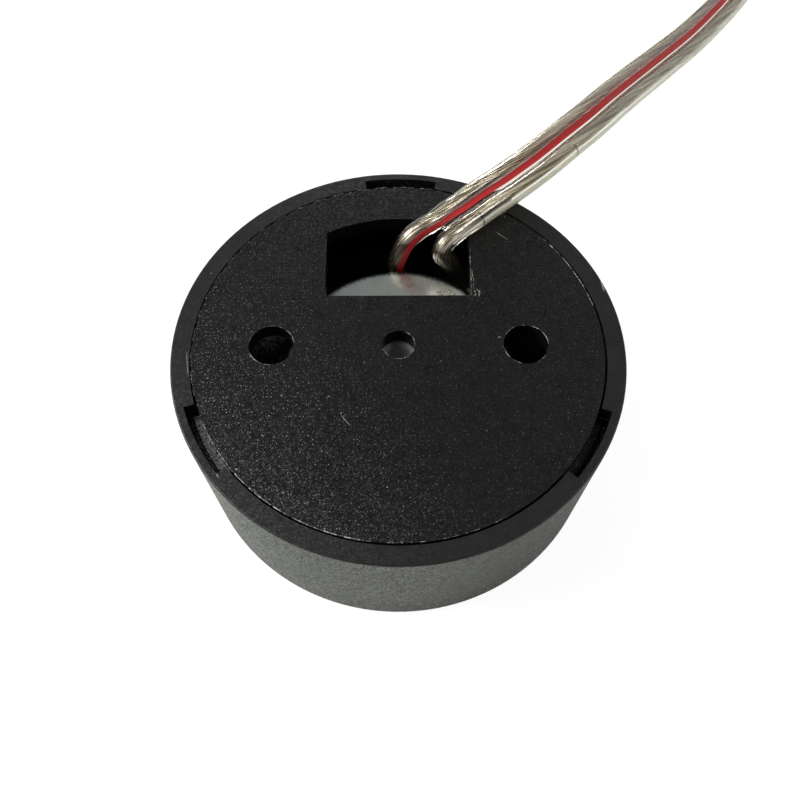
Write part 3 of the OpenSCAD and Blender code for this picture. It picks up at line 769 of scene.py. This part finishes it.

# %% [markdown]
# ## The lead's facts
# The real lead is 0.8 m long, limp and wound up, with bare tinned ends.

# %% [markdown]
# ## Black moulded ABS: its grain
# The cup, the base plate and the front parts are black ABS from tools with
# different spark-eroded textures. Spark erosion leaves a field of tiny shallow
# craters. Plain noise looks like fog at that size, and sharp points of light are
# what the eye sees, so the bump is a field of small flat facets, each tilted its
# own way, with a finer noise on top.


# %% Facets
def glitter(tree, place, facet, steepness):
    """Heights, in metres, of a field of small flat facets, each tilted its own way: in every cell
    of about facet mm, the offset from the cell's middle times a random slope of up to steepness."""
    cells = add(tree, "TexVoronoi", {"Vector": place, "Scale": 1 / (facet * MM)})
    slope = add(tree, "VectorMath", {0: cells.outputs["Color"], 1: (0.5, 0.5, 0.5)}, operation="SUBTRACT")
    offset = add(tree, "VectorMath", {0: place, 1: cells.outputs["Position"]}, operation="SUBTRACT")
    rise = add(tree, "VectorMath", {0: slope.outputs[0], 1: offset.outputs[0]}, operation="DOT_PRODUCT")
    return add(tree, "Math", {0: rise.outputs["Value"], 1: 2 * steepness}, operation="MULTIPLY").outputs[0]


# %% [markdown]
# ## Black moulded ABS: its painted glints, pale lugs and scratches
# Pale specks are painted glints of the grain's facets, painted thicker towards
# the left front, on the window lamp's side. The lugs in the bayonet track are
# painted pale and patchy, as painted light for the light that reaches them in
# their notches. Painting them on an image would tie them to one view of one part.
# Here they are cells that are kept or dropped by their own random value, so the
# same function serves every part, and a scratch is a line given by its two ends.

# %% Where the specks lie
# painted glints: the specks get thicker towards the window lamp on the left front
LEAN, LEAN_FROM, LEAN_TO = (-0.86, -0.5, 0.0), 2, 20  # the way that the specks get thicker, and over which mm
SPARSE = 0.26  # the share of specks on the far side
LUGS_BELOW, BACK_ABOVE = 17.3, 17.8  # heights in mm
# the painted glints lie thicker on the lugs too, as painted light in the notches
LUG_SHARE = 5.0  # how much thicker they are on the lugs


def painted_glint_share(tree, place, height, level):
    """How thick the painted glints lie: from SPARSE to 1 along LEAN, towards the window lamp's
    side, times LUG_SHARE on the lugs, and 0 on steep faces. level is 1 where a face looks up."""
    bias = add(tree, "VectorMath", {0: place, 1: LEAN}, operation="DOT_PRODUCT")
    toward = add(tree, "MapRange", {"Value": bias.outputs["Value"], "From Min": LEAN_FROM * MM,
                                    "From Max": LEAN_TO * MM, "To Min": SPARSE, "To Max": 1.0})
    lower = add(tree, "MapRange", {"Value": height, "From Min": LUGS_BELOW * MM, "From Max": BACK_ABOVE * MM,
                                   "To Min": LUG_SHARE, "To Max": 1.0})
    lit = add(tree, "Math", {0: level, 1: lower.outputs[0]}, operation="MULTIPLY")
    return add(tree, "Math", {0: toward.outputs[0], 1: lit.outputs[0]}, operation="MULTIPLY").outputs[0]


def lugs_painted_pale(tree, colour, share, fine):
    """The colour, painted patchily paler where share is more than the back's: on the lugs, as
    painted light for the light that reaches them in their notches.
    """
    painted_lug_light = add(tree, "MapRange", {"Value": share, "From Min": 1.6, "From Max": 4.4,
                                     "To Min": 0.0, "To Max": 0.7})
    patchy = add(tree, "MapRange", {"Value": fine, "From Min": 0.43, "From Max": 0.6,
                                    "To Min": 0.1, "To Max": 2.0})
    pale = add(tree, "Math", {0: painted_lug_light.outputs[0], 1: patchy.outputs[0]}, operation="MULTIPLY",
               use_clamp=True)
    # painted light: the lugs' pale grey
    return add(tree, "Mix", {0: pale.outputs[0], 6: colour, 7: linear("#a3a7a3")},
               data_type="RGBA").outputs[2]


# %% Specks and scratches
def painted_glint_specks(tree, place, colour, share, field, on):
    """The colour with a field of pale specks, which are painted glints. field is (spacing, size,
    share kept, strength), in mm. A speck fades from 0.4 of its size to its size, and the power 2.2
    makes few of them bright."""
    spacing, size, kept_share, strength = field
    seeds = add(tree, "TexVoronoi", {"Vector": place, "Scale": 1 / (spacing * MM)}, voronoi_dimensions=on)
    pick = add(tree, "SeparateColor", {0: seeds.outputs["Color"]})
    kept = add(tree, "Math", {0: pick.outputs[0], 1: kept_share}, operation="LESS_THAN")
    speck = add(tree, "MapRange", {"Value": seeds.outputs["Distance"], "From Min": 0.4 * size / spacing,
                                   "From Max": size / spacing, "To Min": 1.0, "To Max": 0.0})
    amount = add(tree, "Math", {0: kept.outputs[0], 1: speck.outputs[0]}, operation="MULTIPLY")
    rarely = add(tree, "Math", {0: pick.outputs[1], 1: 2.2}, operation="POWER")
    for factor, clamp in ((rarely.outputs[0], False), (share, False), (strength, True)):
        amount = add(tree, "Math", {0: amount.outputs[0], 1: factor}, operation="MULTIPLY", use_clamp=clamp)
    # painted glints: the specks' pale grey
    return add(tree, "Mix", {0: amount.outputs[0], 6: colour, 7: linear("#c6cbc8")},
               data_type="RGBA").outputs[2]


def line_mark(tree, place, start, end, width):
    """1 on a thin line from start to end on the back face, in mm, and 0 beside it: the place is
    moved and turned so that the line lies on x, and its x and y are compared with the line's
    half length and width."""
    (x0, y0), (x1, y1) = start, end
    half = np.hypot(x1 - x0, y1 - y0) / 2
    turn = np.arctan2(y1 - y0, x1 - x0)
    moved = add(tree, "Mapping", {"Vector": place, "Location": ((x0 + x1) / 2 * MM, (y0 + y1) / 2 * MM, 0),
                                  "Rotation": (0, 0, float(turn))}, vector_type="TEXTURE")
    parts = add(tree, "SeparateXYZ", {0: moved.outputs[0]})
    far = [add(tree, "Math", {0: parts.outputs[i]}, operation="ABSOLUTE").outputs[0] for i in (0, 1)]
    along = add(tree, "MapRange", {"Value": far[0], "From Min": half * 0.6 * MM, "From Max": half * MM,
                                   "To Min": 1.0, "To Max": 0.0})
    beside = add(tree, "MapRange", {"Value": far[1], "From Min": 0.0, "From Max": width * MM,
                                    "To Min": 1.0, "To Max": 0.0})
    return add(tree, "Math", {0: along.outputs[0], 1: beside.outputs[0]}, operation="MULTIPLY").outputs[0]


def scratched(tree, place, colour, broken, mark):
    """The colour with a scratch. mark is (start, end, width, strength), and broken is what makes
    it come and go."""
    start, end, width, strength = mark
    there = line_mark(tree, place, start, end, width)
    amount = add(tree, "Math", {0: there, 1: broken}, operation="MULTIPLY")
    some = add(tree, "Math", {0: amount.outputs[0], 1: strength}, operation="MULTIPLY", use_clamp=True)
    return add(tree, "Mix", {0: some.outputs[0], 6: colour, 7: linear("#b8bab5")},
               data_type="RGBA").outputs[2]


# %% [markdown]
# ## Black moulded ABS: three finishes
# One function puts the grain, the specks and the scratches together, because
# the three parts differ only in size and strength. The plate's craters are the
# coarsest and sparkle, the cup's side wall has a softer grain, and its rim is
# nearly smooth. Moulded ABS has an IOR of about 1.5; the eroded skin returns a
# little less light, so 1.35 to 1.4 is used, with a roughness of 0.27 to 0.5.

# %% Black ABS
RIM_FROM, RIM_TO = 18.9, 19.2  # heights in mm where the side wall's grain gives way to the rim's


def abs_finish(name, dark, light, facet, steepness, rough, ior, specks, marks=(), rim_share=None, on="3D"):
    """Black ABS. facet is the grain in mm and steepness its slope. rough is the lowest and
    highest roughness, specks are fields of pale specks that are painted glints, and marks are
    scratches. rim_share is the grain's share that is left on the rim. on is 2D where the cells of
    the specks run straight through the part, and 3D elsewhere."""
    made, tree = new_material(name)
    here = add(tree, "TexCoord")
    place = here.outputs["Object"]
    height = add(tree, "SeparateXYZ", {0: place}).outputs[2]
    upward = add(tree, "SeparateXYZ", {0: here.outputs["Normal"]})
    level = add(tree, "Math", {0: upward.outputs[2], 1: 0.5}, operation="GREATER_THAN").outputs[0]

    fine = grain(tree, facet * 1.5, 4.0, 0.7)
    rough_grain = add(tree, "Math", {0: fine, 1: facet * steepness * 0.7 * MM}, operation="MULTIPLY")
    bumps = add(tree, "Math", {0: glitter(tree, place, facet, steepness), 1: rough_grain.outputs[0]},
                operation="ADD")
    if rim_share is not None:
        side = add(tree, "MapRange", {"Value": height, "From Min": RIM_FROM * MM, "From Max": RIM_TO * MM,
                                      "To Min": 1.0, "To Max": rim_share})
        bumps = add(tree, "Math", {0: bumps.outputs[0], 1: side.outputs[0]}, operation="MULTIPLY")

    broad = grain(tree, 6, 5.0, 0.65)
    colour = add(tree, "Mix", {0: broad, 6: linear(dark), 7: linear(light)}, data_type="RGBA").outputs[2]
    share = painted_glint_share(tree, place, height, level)
    colour = lugs_painted_pale(tree, colour, share, fine)
    for field in specks:
        colour = painted_glint_specks(tree, place, colour, share, field, on)
    broken = add(tree, "Math", {0: fine, 1: level}, operation="MULTIPLY").outputs[0]
    for mark in marks:
        colour = scratched(tree, place, colour, broken, mark)

    cloudy = grain(tree, 1.1, 5.0, 0.75)
    gloss = add(tree, "MapRange", {"Value": cloudy, "From Min": 0.36, "From Max": 0.64,
                                   "To Min": rough[0], "To Max": rough[1]})
    # the bumps are heights in metres already, so the relief is one metre
    shade(tree, bumps.outputs[0], 1 / MM, Base_Color=colour, Roughness=gloss.outputs[0], IOR=ior)
    return made


# %% Three black plastics
# scratches: start and end on the back in mm, width in mm, strength
rim_marks = [((22.3, 12.4), (23.4, 9.0), 0.16, 1.6), ((23.3, 9.6), (23.6, 6.9), 0.12, 1.2),
             ((-19.1, -14.2), (-18.3, -15.8), 0.07, 1.5), ((-23.3, -0.6), (-22.7, -4.0), 0.1, 0.6)]
plate_marks = [((19.0, 13.6), (21.0, 11.3), 0.06, 1.6), ((17.0, 15.4), (18.4, 14.2), 0.05, 1.4),
               ((-6.2, -8.6), (-5.1, -10.0), 0.06, 1.2), ((11.6, 15.8), (13.2, 14.4), 0.05, 1.1)]
# painted glints as specks: spacing and size in mm, share kept, strength
cup_abs = abs_finish("moulded_abs_cup", "#0a0b0a", "#121412", facet=0.17, steepness=0.42, rough=(0.33, 0.42),
                     ior=1.4, specks=[(1.1, 0.1, 0.5, 0.7)], marks=rim_marks, rim_share=0.2)
plate_abs = abs_finish("moulded_abs_base_plate", "#060706", "#0c0d0c", facet=0.2, steepness=0.1,
                       rough=(0.27, 0.35), ior=1.35, marks=plate_marks, on="2D",
                       specks=[(0.22, 0.05, 0.6, 0.5), (0.46, 0.058, 0.75, 0.9), (2.1, 0.09, 0.5, 1.0)])
front_abs = abs_finish("moulded_abs_front", "#121312", "#1a1b1a", facet=0.22, steepness=0.15,
                       rough=(0.34, 0.5), ior=1.4, specks=[(1.1, 0.08, 0.3, 0.5)])

# %% [markdown]
# ## Flash, worn edges and painted edge highlights
# Where the two halves of a mould meet, a little plastic creeps out and stays as
# flash, and a sharp black edge turns pale where it is rubbed. Both are thin,
# ragged beads along an edge. A bump can't change an edge's outline, so they are
# small closed tubes whose radius wanders as they go. The same pale beads are also
# painted highlights, for the light that the edges of the holes, the window and
# the plate catch.

# %% Whitened plastic and painted edge highlights
whitened_and_highlight_abs, tree = new_material("whitened_abs_and_painted_edge_highlight")
crumbs = grain(tree, 0.25, 4.0)
tone = add(tree, "ValToRGB", {"Fac": crumbs})
low, high = tone.color_ramp.elements
low.position = 0.4
low.color = linear("#2c2d2b")
high.position = 0.62
# painted highlight and whitened flash: the pale end of the ramp
high.color = linear("#b4b6b0")
shade(tree, crumbs, 0.05, Base_Color=tone.outputs[0], Roughness=0.5, IOR=1.46)


# %% Ragged beads
def bead(path, radius, seed):
    """A closed tube along a path in mm. Its radius is radius times 0.55 + 0.25 sin(7 s + a)
    + 0.2 sin(17 s + b) + 0.15 sin(41 s + c), where s is a third of the distance in mm and a, b, c
    are seed, 2 seed and 3 seed; it tapers at both ends."""
    s = run_of(path)
    wander = 0.55 + sum(w * np.sin(k * s / 3 + seed * (j + 1)) for j, (w, k) in
                        enumerate(((0.25, 7), (0.2, 17), (0.15, 41))))
    taper = np.clip(np.minimum(s, s[-1] - s) / 0.6, 0, 1) ** 0.5
    r = np.maximum(radius * wander * taper, 0.008)
    b = np.linspace(0, 2 * np.pi, 6, endpoint=False)
    _, x, y = lead_axes(np.hstack([path, np.zeros((len(path), 1))]))
    return closed_tube(carried(path, x, y, r[:, None, None] * np.stack([np.cos(b), np.sin(b)], axis=1)))


def arc_path(x0, y0, r, start, end, z):
    """Points every 0.15 mm or so on an arc, angles in degrees."""
    a = np.radians(np.linspace(start, end, int(r * abs(np.radians(end - start)) / 0.15) + 2))
    return np.stack([x0 + r * np.cos(a), y0 + r * np.sin(a), np.full_like(a, z)], axis=1)


def line_path(points, z):
    """Points every 0.12 mm on a polyline in the plane of the back."""
    corners = np.array([[x, y, z] for x, y in points], float)
    return spaced(corners, np.arange(0, run_of(corners)[-1], 0.12))


PLATE_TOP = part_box("base_plate")[1][2] / MM
print("the plate's back is at %.2f mm" % PLATE_TOP)

# %% Pale beads on the plate's edges
SCREW_X, SCREW_R, HOLE_R = 14.05, 2.5, 1.8
BEAD_Z = PLATE_TOP - 0.02

# arcs: centre x, radius, start and end angle, bead radius
edge_arcs = [
    (SCREW_X, SCREW_R, 0, 78, 0.07), (SCREW_X, SCREW_R, 192, 258, 0.075),
    (SCREW_X, SCREW_R, 78, 192, 0.035), (SCREW_X, SCREW_R, 262, 352, 0.03),
    (-SCREW_X, SCREW_R, -8, 74, 0.06), (-SCREW_X, SCREW_R, 196, 276, 0.08),
    (-SCREW_X, SCREW_R, 80, 190, 0.03), (0, HOLE_R, 190, 352, 0.05), (0, HOLE_R, -5, 70, 0.055),
    (0, 22.64, 205, 263, 0.085), (0, 22.62, 264, 300, 0.04), (0, 22.64, 12, 41, 0.075),
    (0, 22.6, 21, 30, 0.05)]
# ragged lines: bead radius and corners. The window's corner comes first, then the right screw hole.
edge_lines = [
    (0.06, [(8.43, 12.4), (8.43, 9.5), (8.41, 6.6)]), (0.07, [(8.6, 10.2), (8.58, 9.4), (8.66, 8.6)]),
    (0.08, [(8.72, 9.2), (8.7, 8.3), (8.62, 7.6)]),
    (0.1, [(8.62, 8.3), (8.68, 7.5), (8.84, 6.9), (8.75, 6.45)]),
    (0.1, [(8.9, 7.9), (9.05, 7.3), (9.4, 6.95), (9.62, 6.6)]), (0.09, [(9.1, 7.1), (9.3, 6.6), (9.05, 6.3)]),
    (0.08, [(8.5, 6.62), (8.75, 6.5), (9.0, 6.75)]), (0.06, [(8.3, 6.52), (7.8, 6.5)]),
    (0.1, [(11.5, 0.75), (11.25, 1.0), (10.95, 0.85), (11.1, 0.5)]), (0.09, [(11.6, 1.2), (11.75, 1.5)]),
    (0.11, [(15.85, -1.7), (16.15, -1.55), (16.45, -1.8)]), (0.08, [(16.0, -2.0), (16.7, -2.05)])]
beads = [bead(arc_path(x, 0, r, start, end, BEAD_Z), w, i)
         for i, (x, r, start, end, w) in enumerate(edge_arcs)]
beads += [bead(line_path(corners, BEAD_Z), w, i + 0.5) for i, (w, corners) in enumerate(edge_lines)]
# flash and painted highlights: pale beads on the plate's edges
flash_and_highlight = new_piece("plate_edge_flash_and_highlight", beads, "plate", [whitened_and_highlight_abs])

# %% Lip of the plate
# the plate's edge stands out a little further on its upper left, where it nearly closes the gap to the rim
lip_path = arc_path(0, 0, 22.68, 76, 196, BEAD_Z - 0.08)
lip = new_piece("plate_edge_lip", [bead(lip_path, 0.19, 3.1)], "plate", [plate_abs])

# %% [markdown]
# ## The rivet under the centre hole
# The dished head of the rivet that closes the motor fills the space under the
# plate's centre hole. Only its middle shows, so it could be a flat disc, but a
# dish catches the light on its far side. It is one ring of points that goes
# straight up and then shrinks down along a sphere. It is black, with a ring
# painted bright where the plate's hole lies over it: painted light, for the light
# that falls through the hole.


# %% Blackened steel
def from_axis(tree, place):
    """The distance from the tweeter's axis: the length of a place's x and y."""
    parts = add(tree, "SeparateXYZ", {0: place})
    flat = add(tree, "CombineXYZ", {0: parts.outputs[0], 1: parts.outputs[1], 2: 0.0})
    return add(tree, "VectorMath", {0: flat.outputs[0]}, operation="LENGTH").outputs["Value"]


def ring_between(tree, noise, wobble, start, end):
    """0 near the axis and 1 far from it, changing from start to end mm. Noise, times wobble mm, is
    added to the distance, so the edge wanders."""
    place = add(tree, "TexCoord").outputs["Object"]
    wavy = add(tree, "Math", {0: noise, 1: wobble * MM, 2: from_axis(tree, place)}, operation="MULTIPLY_ADD")
    ring = add(tree, "MapRange", {"Value": wavy.outputs[0], "From Min": start * MM, "From Max": end * MM})
    return ring.outputs[0]


blackened, tree = new_material("blackened_steel_rivet")
grit = grain(tree, 0.3, 4.0)
painted_ring_light = ring_between(tree, grit, 0.4, 1.35, 1.75)
# painted light: the grey of the ring where light falls through the hole
tone = add(tree, "Mix", {0: painted_ring_light, 6: linear("#222321"), 7: linear("#5f615c")}, data_type="RGBA")
shade(tree, grit, 0.02, Base_Color=tone.outputs[2], Roughness=0.5, IOR=1.45)

# %% Rivet head
PLATE_T, RIVET_R, RIVET_DISH_R = 2.0, 2.4, 6.0
POT_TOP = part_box("magnet_pot")[1][2] / MM
RIVET_TOP = PLATE_TOP - PLATE_T - 0.1
t = np.linspace(np.arcsin(RIVET_R / RIVET_DISH_R), 0.02, 12)
ring_r = np.concatenate([[RIVET_R], RIVET_DISH_R * np.sin(t)])
ring_z = np.concatenate([[POT_TOP], RIVET_TOP - RIVET_DISH_R * (np.cos(t) - np.cos(t[0]))])


def turned_rings(r, z, angles):
    """Rings of points round the axis: each pair of radius and height, at every angle."""
    height = np.repeat(z[:, None], len(angles), 1)
    return np.stack([np.outer(r, np.cos(angles)), np.outer(r, np.sin(angles)), height], axis=-1)


rivet = new_piece("motor_rivet_head", [closed_tube(turned_rings(ring_r, ring_z, angles))], "cup", [blackened])

# %% [markdown]
# ## Plated steel
# The pot is turned from steel and zinc plated. Its face has a slight bloom and
# mirrors softly, and its turned edge is painted darker and mottled, as painted
# shade for the dark that the edge's small bevel shows. A stack of plating
# layers could be modelled, but what the eye gets is a metal whose roughness
# drifts between 0.25 and 0.33, so that is all it is. A metal keeps its own IOR.

# %% Zinc-plated steel
zinc, tree = new_material("zinc_plated_steel")
bloom = grain(tree, 2.2, 5.0, 0.6)
tone = add(tree, "ValToRGB", {"Fac": bloom})
low, high = tone.color_ramp.elements
low.position = 0.3
low.color = linear("#c9d0cb")
high.position = 0.62
high.color = linear("#ecf0ec")
haze = add(tree, "MapRange", {"Value": bloom, "From Min": 0.3, "From Max": 0.7,
                              "To Min": 0.33, "To Max": 0.25})
# painted shade on the turned edge of the pot, 12.1 to 13 mm from the axis
painted_bevel_shade = ring_between(tree, grain(tree, 0.3, 2.0), 0.5, 12.3, 12.75)
colour = add(tree, "Mix", {0: painted_bevel_shade, 6: tone.outputs[0], 7: linear("#5f635e")}, data_type="RGBA")
shade(tree, bloom, 0.002, Base_Color=colour.outputs[2], Metallic=1.0, Roughness=haze.outputs[0])

# %% [markdown]
# ## The parts that are seen from the front and inside
# The grille is punched steel with powder coat, the dome is formed foil, the
# surround is coated cloth, the gasket is foam, the pad is felt, and the leads to
# the coil are braided tinsel. Each could have a tree of its own, but most differ
# only in colour, gloss and the size of the pattern that their making leaves, so
# one function makes them, and the cloth has its own.


# %% Front and inside finishes
def simple_finish(name, low, high, size, relief, rough, metal=0.0, stretch=None, detail=3.0):
    """A finish whose colour, roughness and bump all follow one noise of a size in mm. relief is
    in mm, rough is the lowest and highest roughness, and stretch scales the pattern by axis."""
    made, tree = new_material(name)
    noise = grain(tree, size, detail, stretch=stretch)
    tone = add(tree, "Mix", {0: noise, 6: linear(low), 7: linear(high)}, data_type="RGBA")
    gloss = add(tree, "MapRange", {"Value": noise, "From Min": 0.3, "From Max": 0.7,
                                   "To Min": rough[0], "To Max": rough[1]})
    shade(tree, noise, relief, Base_Color=tone.outputs[2], Roughness=gloss.outputs[0], Metallic=metal)
    return made


def woven_cloth(name, low, high, thread):
    """Coated cloth with a thread spacing in mm: two sets of threads, each a wave across its own
    run, and the higher of the two is on top."""
    made, tree = new_material(name)
    place = add(tree, "TexCoord").outputs["Object"]
    waves = [add(tree, "TexWave", {"Vector": place, "Scale": 1 / (thread * 20 * MM), "Distortion": 0.4},
                 wave_type="BANDS", bands_direction=way) for way in ("X", "Y")]
    crossing = add(tree, "Math", {0: waves[0].outputs["Fac"], 1: waves[1].outputs["Fac"]},
                   operation="MAXIMUM")
    tone = add(tree, "Mix", {0: crossing.outputs[0], 6: linear(low), 7: linear(high)}, data_type="RGBA")
    shade(tree, crossing.outputs[0], 0.03, Base_Color=tone.outputs[2], Roughness=0.62, IOR=1.5)
    return made


# %% A finish for every CAD node that shows
finishes = {
    "housing": cup_abs, "base_plate": plate_abs, "bezel": front_abs, "face_plate": front_abs,
    "magnet_pot": zinc, "pole_disc": zinc,
    "grille": simple_finish("powder_coated_steel", "#1b1c1c", "#2b2c2c", 0.18, 0.03, (0.4, 0.6)),
    "gasket": simple_finish("closed_cell_foam", "#17181a", "#2c2d2f", 0.35, 0.12, (0.8, 0.95), detail=5.0),
    "magnet": simple_finish("nickel_plated_magnet", "#b8b6b0", "#cfcdc6", 1.5, 0.003, (0.12, 0.22), 1.0),
    "damping_pad": simple_finish("wool_felt", "#6c6a60", "#8d8a7d", 0.25, 0.15, (0.9, 1.0), detail=6.0),
    "dome": simple_finish("formed_aluminium_foil", "#bfc1c3", "#dadbdc", 1.2, 0.008, (0.2, 0.32), 1.0),
    "surround": woven_cloth("coated_cloth", "#141414", "#2a2a29", 0.3),
    "coil_former": simple_finish("polyimide_film", "#a8691c", "#c98a2c", 1.0, 0.003, (0.16, 0.26)),
    "voice_coil": simple_finish("enamelled_copper_wire", "#8f4a24", "#c77a45", 0.12, 0.03, (0.2, 0.35), 1.0,
                                stretch=(0.02, 0.02, 1)),
    "tinsel_lead_a": simple_finish("copper_tinsel_braid", "#8f5b3a", "#c98f66", 0.2, 0.04, (0.3, 0.5), 1.0),
    "tag_a": simple_finish("tinned_brass", "#b9b094", "#d2ccb8", 0.4, 0.004, (0.22, 0.4), 1.0),
    "solder_a": simple_finish("solder", "#a9acad", "#c8cbcc", 0.5, 0.01, (0.14, 0.3), 1.0),
}
for kind in ("tinsel_lead", "tag", "solder"):
    finishes[kind + "_b"] = finishes[kind + "_a"]
for name, finish in finishes.items():
    mesh = nodes[name].data
    mesh.materials.clear()
    mesh.materials.append(finish)
print("finished CAD nodes:", len(finishes))

# %% [markdown]
# ## Floor
# The tweeter lies on a plain white floor that sweeps up into a wall, so that no
# horizon shows. More lamp light would make it white but would bleach the tweeter
# too. So the camera, and the eye through the clear jacket, see a floor that glows
# a little; reflections see one whose glow is painted dimmer near the tweeter, as
# painted shade where the floor lies in its shade, and brighter further out; and
# everything else sees plain white paper, which keeps the soft shadow.

# %% White floor
DIM = 0.168  # the light that the room sends back: the world's strength, and the shaded floor's in reflections

white_floor, tree = new_material("white_paper_sweep")
rays = add(tree, "LightPath")
seen = add(tree, "Math", {0: rays.outputs["Is Camera Ray"], 1: rays.outputs["Is Transmission Ray"]},
           operation="MAXIMUM")
place = add(tree, "TexCoord").outputs["Object"]
outward_from = add(tree, "VectorMath", {0: place}, operation="LENGTH").outputs["Value"]
# painted shade: in reflections the floor's glow is dimmer near the tweeter
glow_with_painted_shade = add(tree, "MapRange", {"Value": outward_from, "From Min": 0.06, "From Max": 0.45,
                              "To Min": DIM, "To Max": 0.6})


def lit_paper(hex_colour, strength):
    """Plain paper that also glows by strength."""
    paper = add(tree, "BsdfDiffuse", {"Color": linear(hex_colour)})
    light = add(tree, "Emission", {"Strength": strength})
    return add(tree, "AddShader", {0: paper.outputs[0], 1: light.outputs[0]}).outputs[0]


plain = add(tree, "BsdfDiffuse", {"Color": linear("#e7e7e7")})
in_gloss = add(tree, "MixShader", {
    0: rays.outputs["Is Glossy Ray"], 1: plain.outputs[0], 2: lit_paper("#f7fcf0", glow_with_painted_shade.outputs[0])})
floor_mix = add(tree, "MixShader", {
    0: seen.outputs[0], 1: in_gloss.outputs[0], 2: lit_paper("#707070", 0.92)})
add(tree, "OutputMaterial", {"Surface": floor_mix.outputs[0]})

# %% Round sweep
FLAT_R, BEND_R, WALL_TOP = 1.2, 0.8, 1.3  # metres: the flat part, the quarter circle and the wall's top
bend = np.linspace(0, np.pi / 2, 16)
sweep_r = np.concatenate([[0.001], FLAT_R + BEND_R * np.sin(bend), [FLAT_R + BEND_R]])
sweep_z = np.concatenate([[0], BEND_R - BEND_R * np.cos(bend), [WALL_TOP]])
a = np.linspace(0, 2 * np.pi, 96, endpoint=False)
points = turned_rings(sweep_r, sweep_z, a).reshape(-1, 3)
faces = ring_faces(len(sweep_r), len(a)).tolist() + [list(range(len(a)))]
floor_mesh = bpy.data.meshes.new("floor")
floor_mesh.from_pydata(points.tolist(), [], faces)
floor_mesh.polygons.foreach_set("use_smooth", np.full(len(faces), True))
floor_mesh.materials.append(white_floor)
floor = bpy.data.objects.new("floor", floor_mesh)
scene.collection.objects.link(floor)
print("floor faces:", len(faces))

# %% [markdown]
# ## World and lamps
# The light is soft daylight from a big window on the left, with pale walls and a
# ceiling round it. An image of a room could do it, but a few square lamps can be
# put where each highlight needs one: the window's sheen on the plate, the
# strands' bright lines, the side wall's right end. The world is a dim, slightly
# green grey that fills what they leave.

# %% World
world = bpy.data.worlds.new("soft_room")
scene.world = world
world.use_nodes = True
tree = world.node_tree
tree.nodes.clear()
room = add(tree, "Background", {"Color": linear("#f9fffd"), "Strength": DIM})
add(tree, "OutputWorld", {"Surface": room.outputs[0]})
print("world strength:", DIM)

# %% Lamps
AIM = np.array([0, 0, 0.01])


def soft_lamp(name, at, size, power):
    """A square area lamp, size metres wide, at a place in metres, turned so that its own -Z axis
    points at AIM. On the object it gives power / (pi^2 d^2)."""
    lamp = bpy.data.lights.new(name, "AREA")
    lamp.shape = "SQUARE"
    lamp.size = size
    lamp.energy = power
    z = np.array(at, float) - AIM
    far = np.linalg.norm(z)
    z /= far
    x = np.cross([0, 1, 0], z)
    x /= np.linalg.norm(x)
    m = np.eye(4)
    m[:3] = np.stack([x, np.cross(z, x), z, at], axis=1)
    made = bpy.data.objects.new(name, lamp)
    made.matrix_world = Matrix(m.tolist())
    scene.collection.objects.link(made)
    print(name, "strength on the object about %.2f" % (power / (np.pi * far) ** 2))


soft_lamp("window_left", (-0.43, 0.03, 0.35), 0.3, 3.1)
soft_lamp("ceiling_left", (-0.2, 0.04, 0.56), 0.2, 0.6)
soft_lamp("ceiling_right", (0.29, 0.03, 0.41), 0.1, 0.4)
soft_lamp("pale_wall_right", (0.45, -0.2, 0.13), 0.25, 0.3)
soft_lamp("door_behind", (-0.04, 0.58, 0.15), 0.12, 1.0)
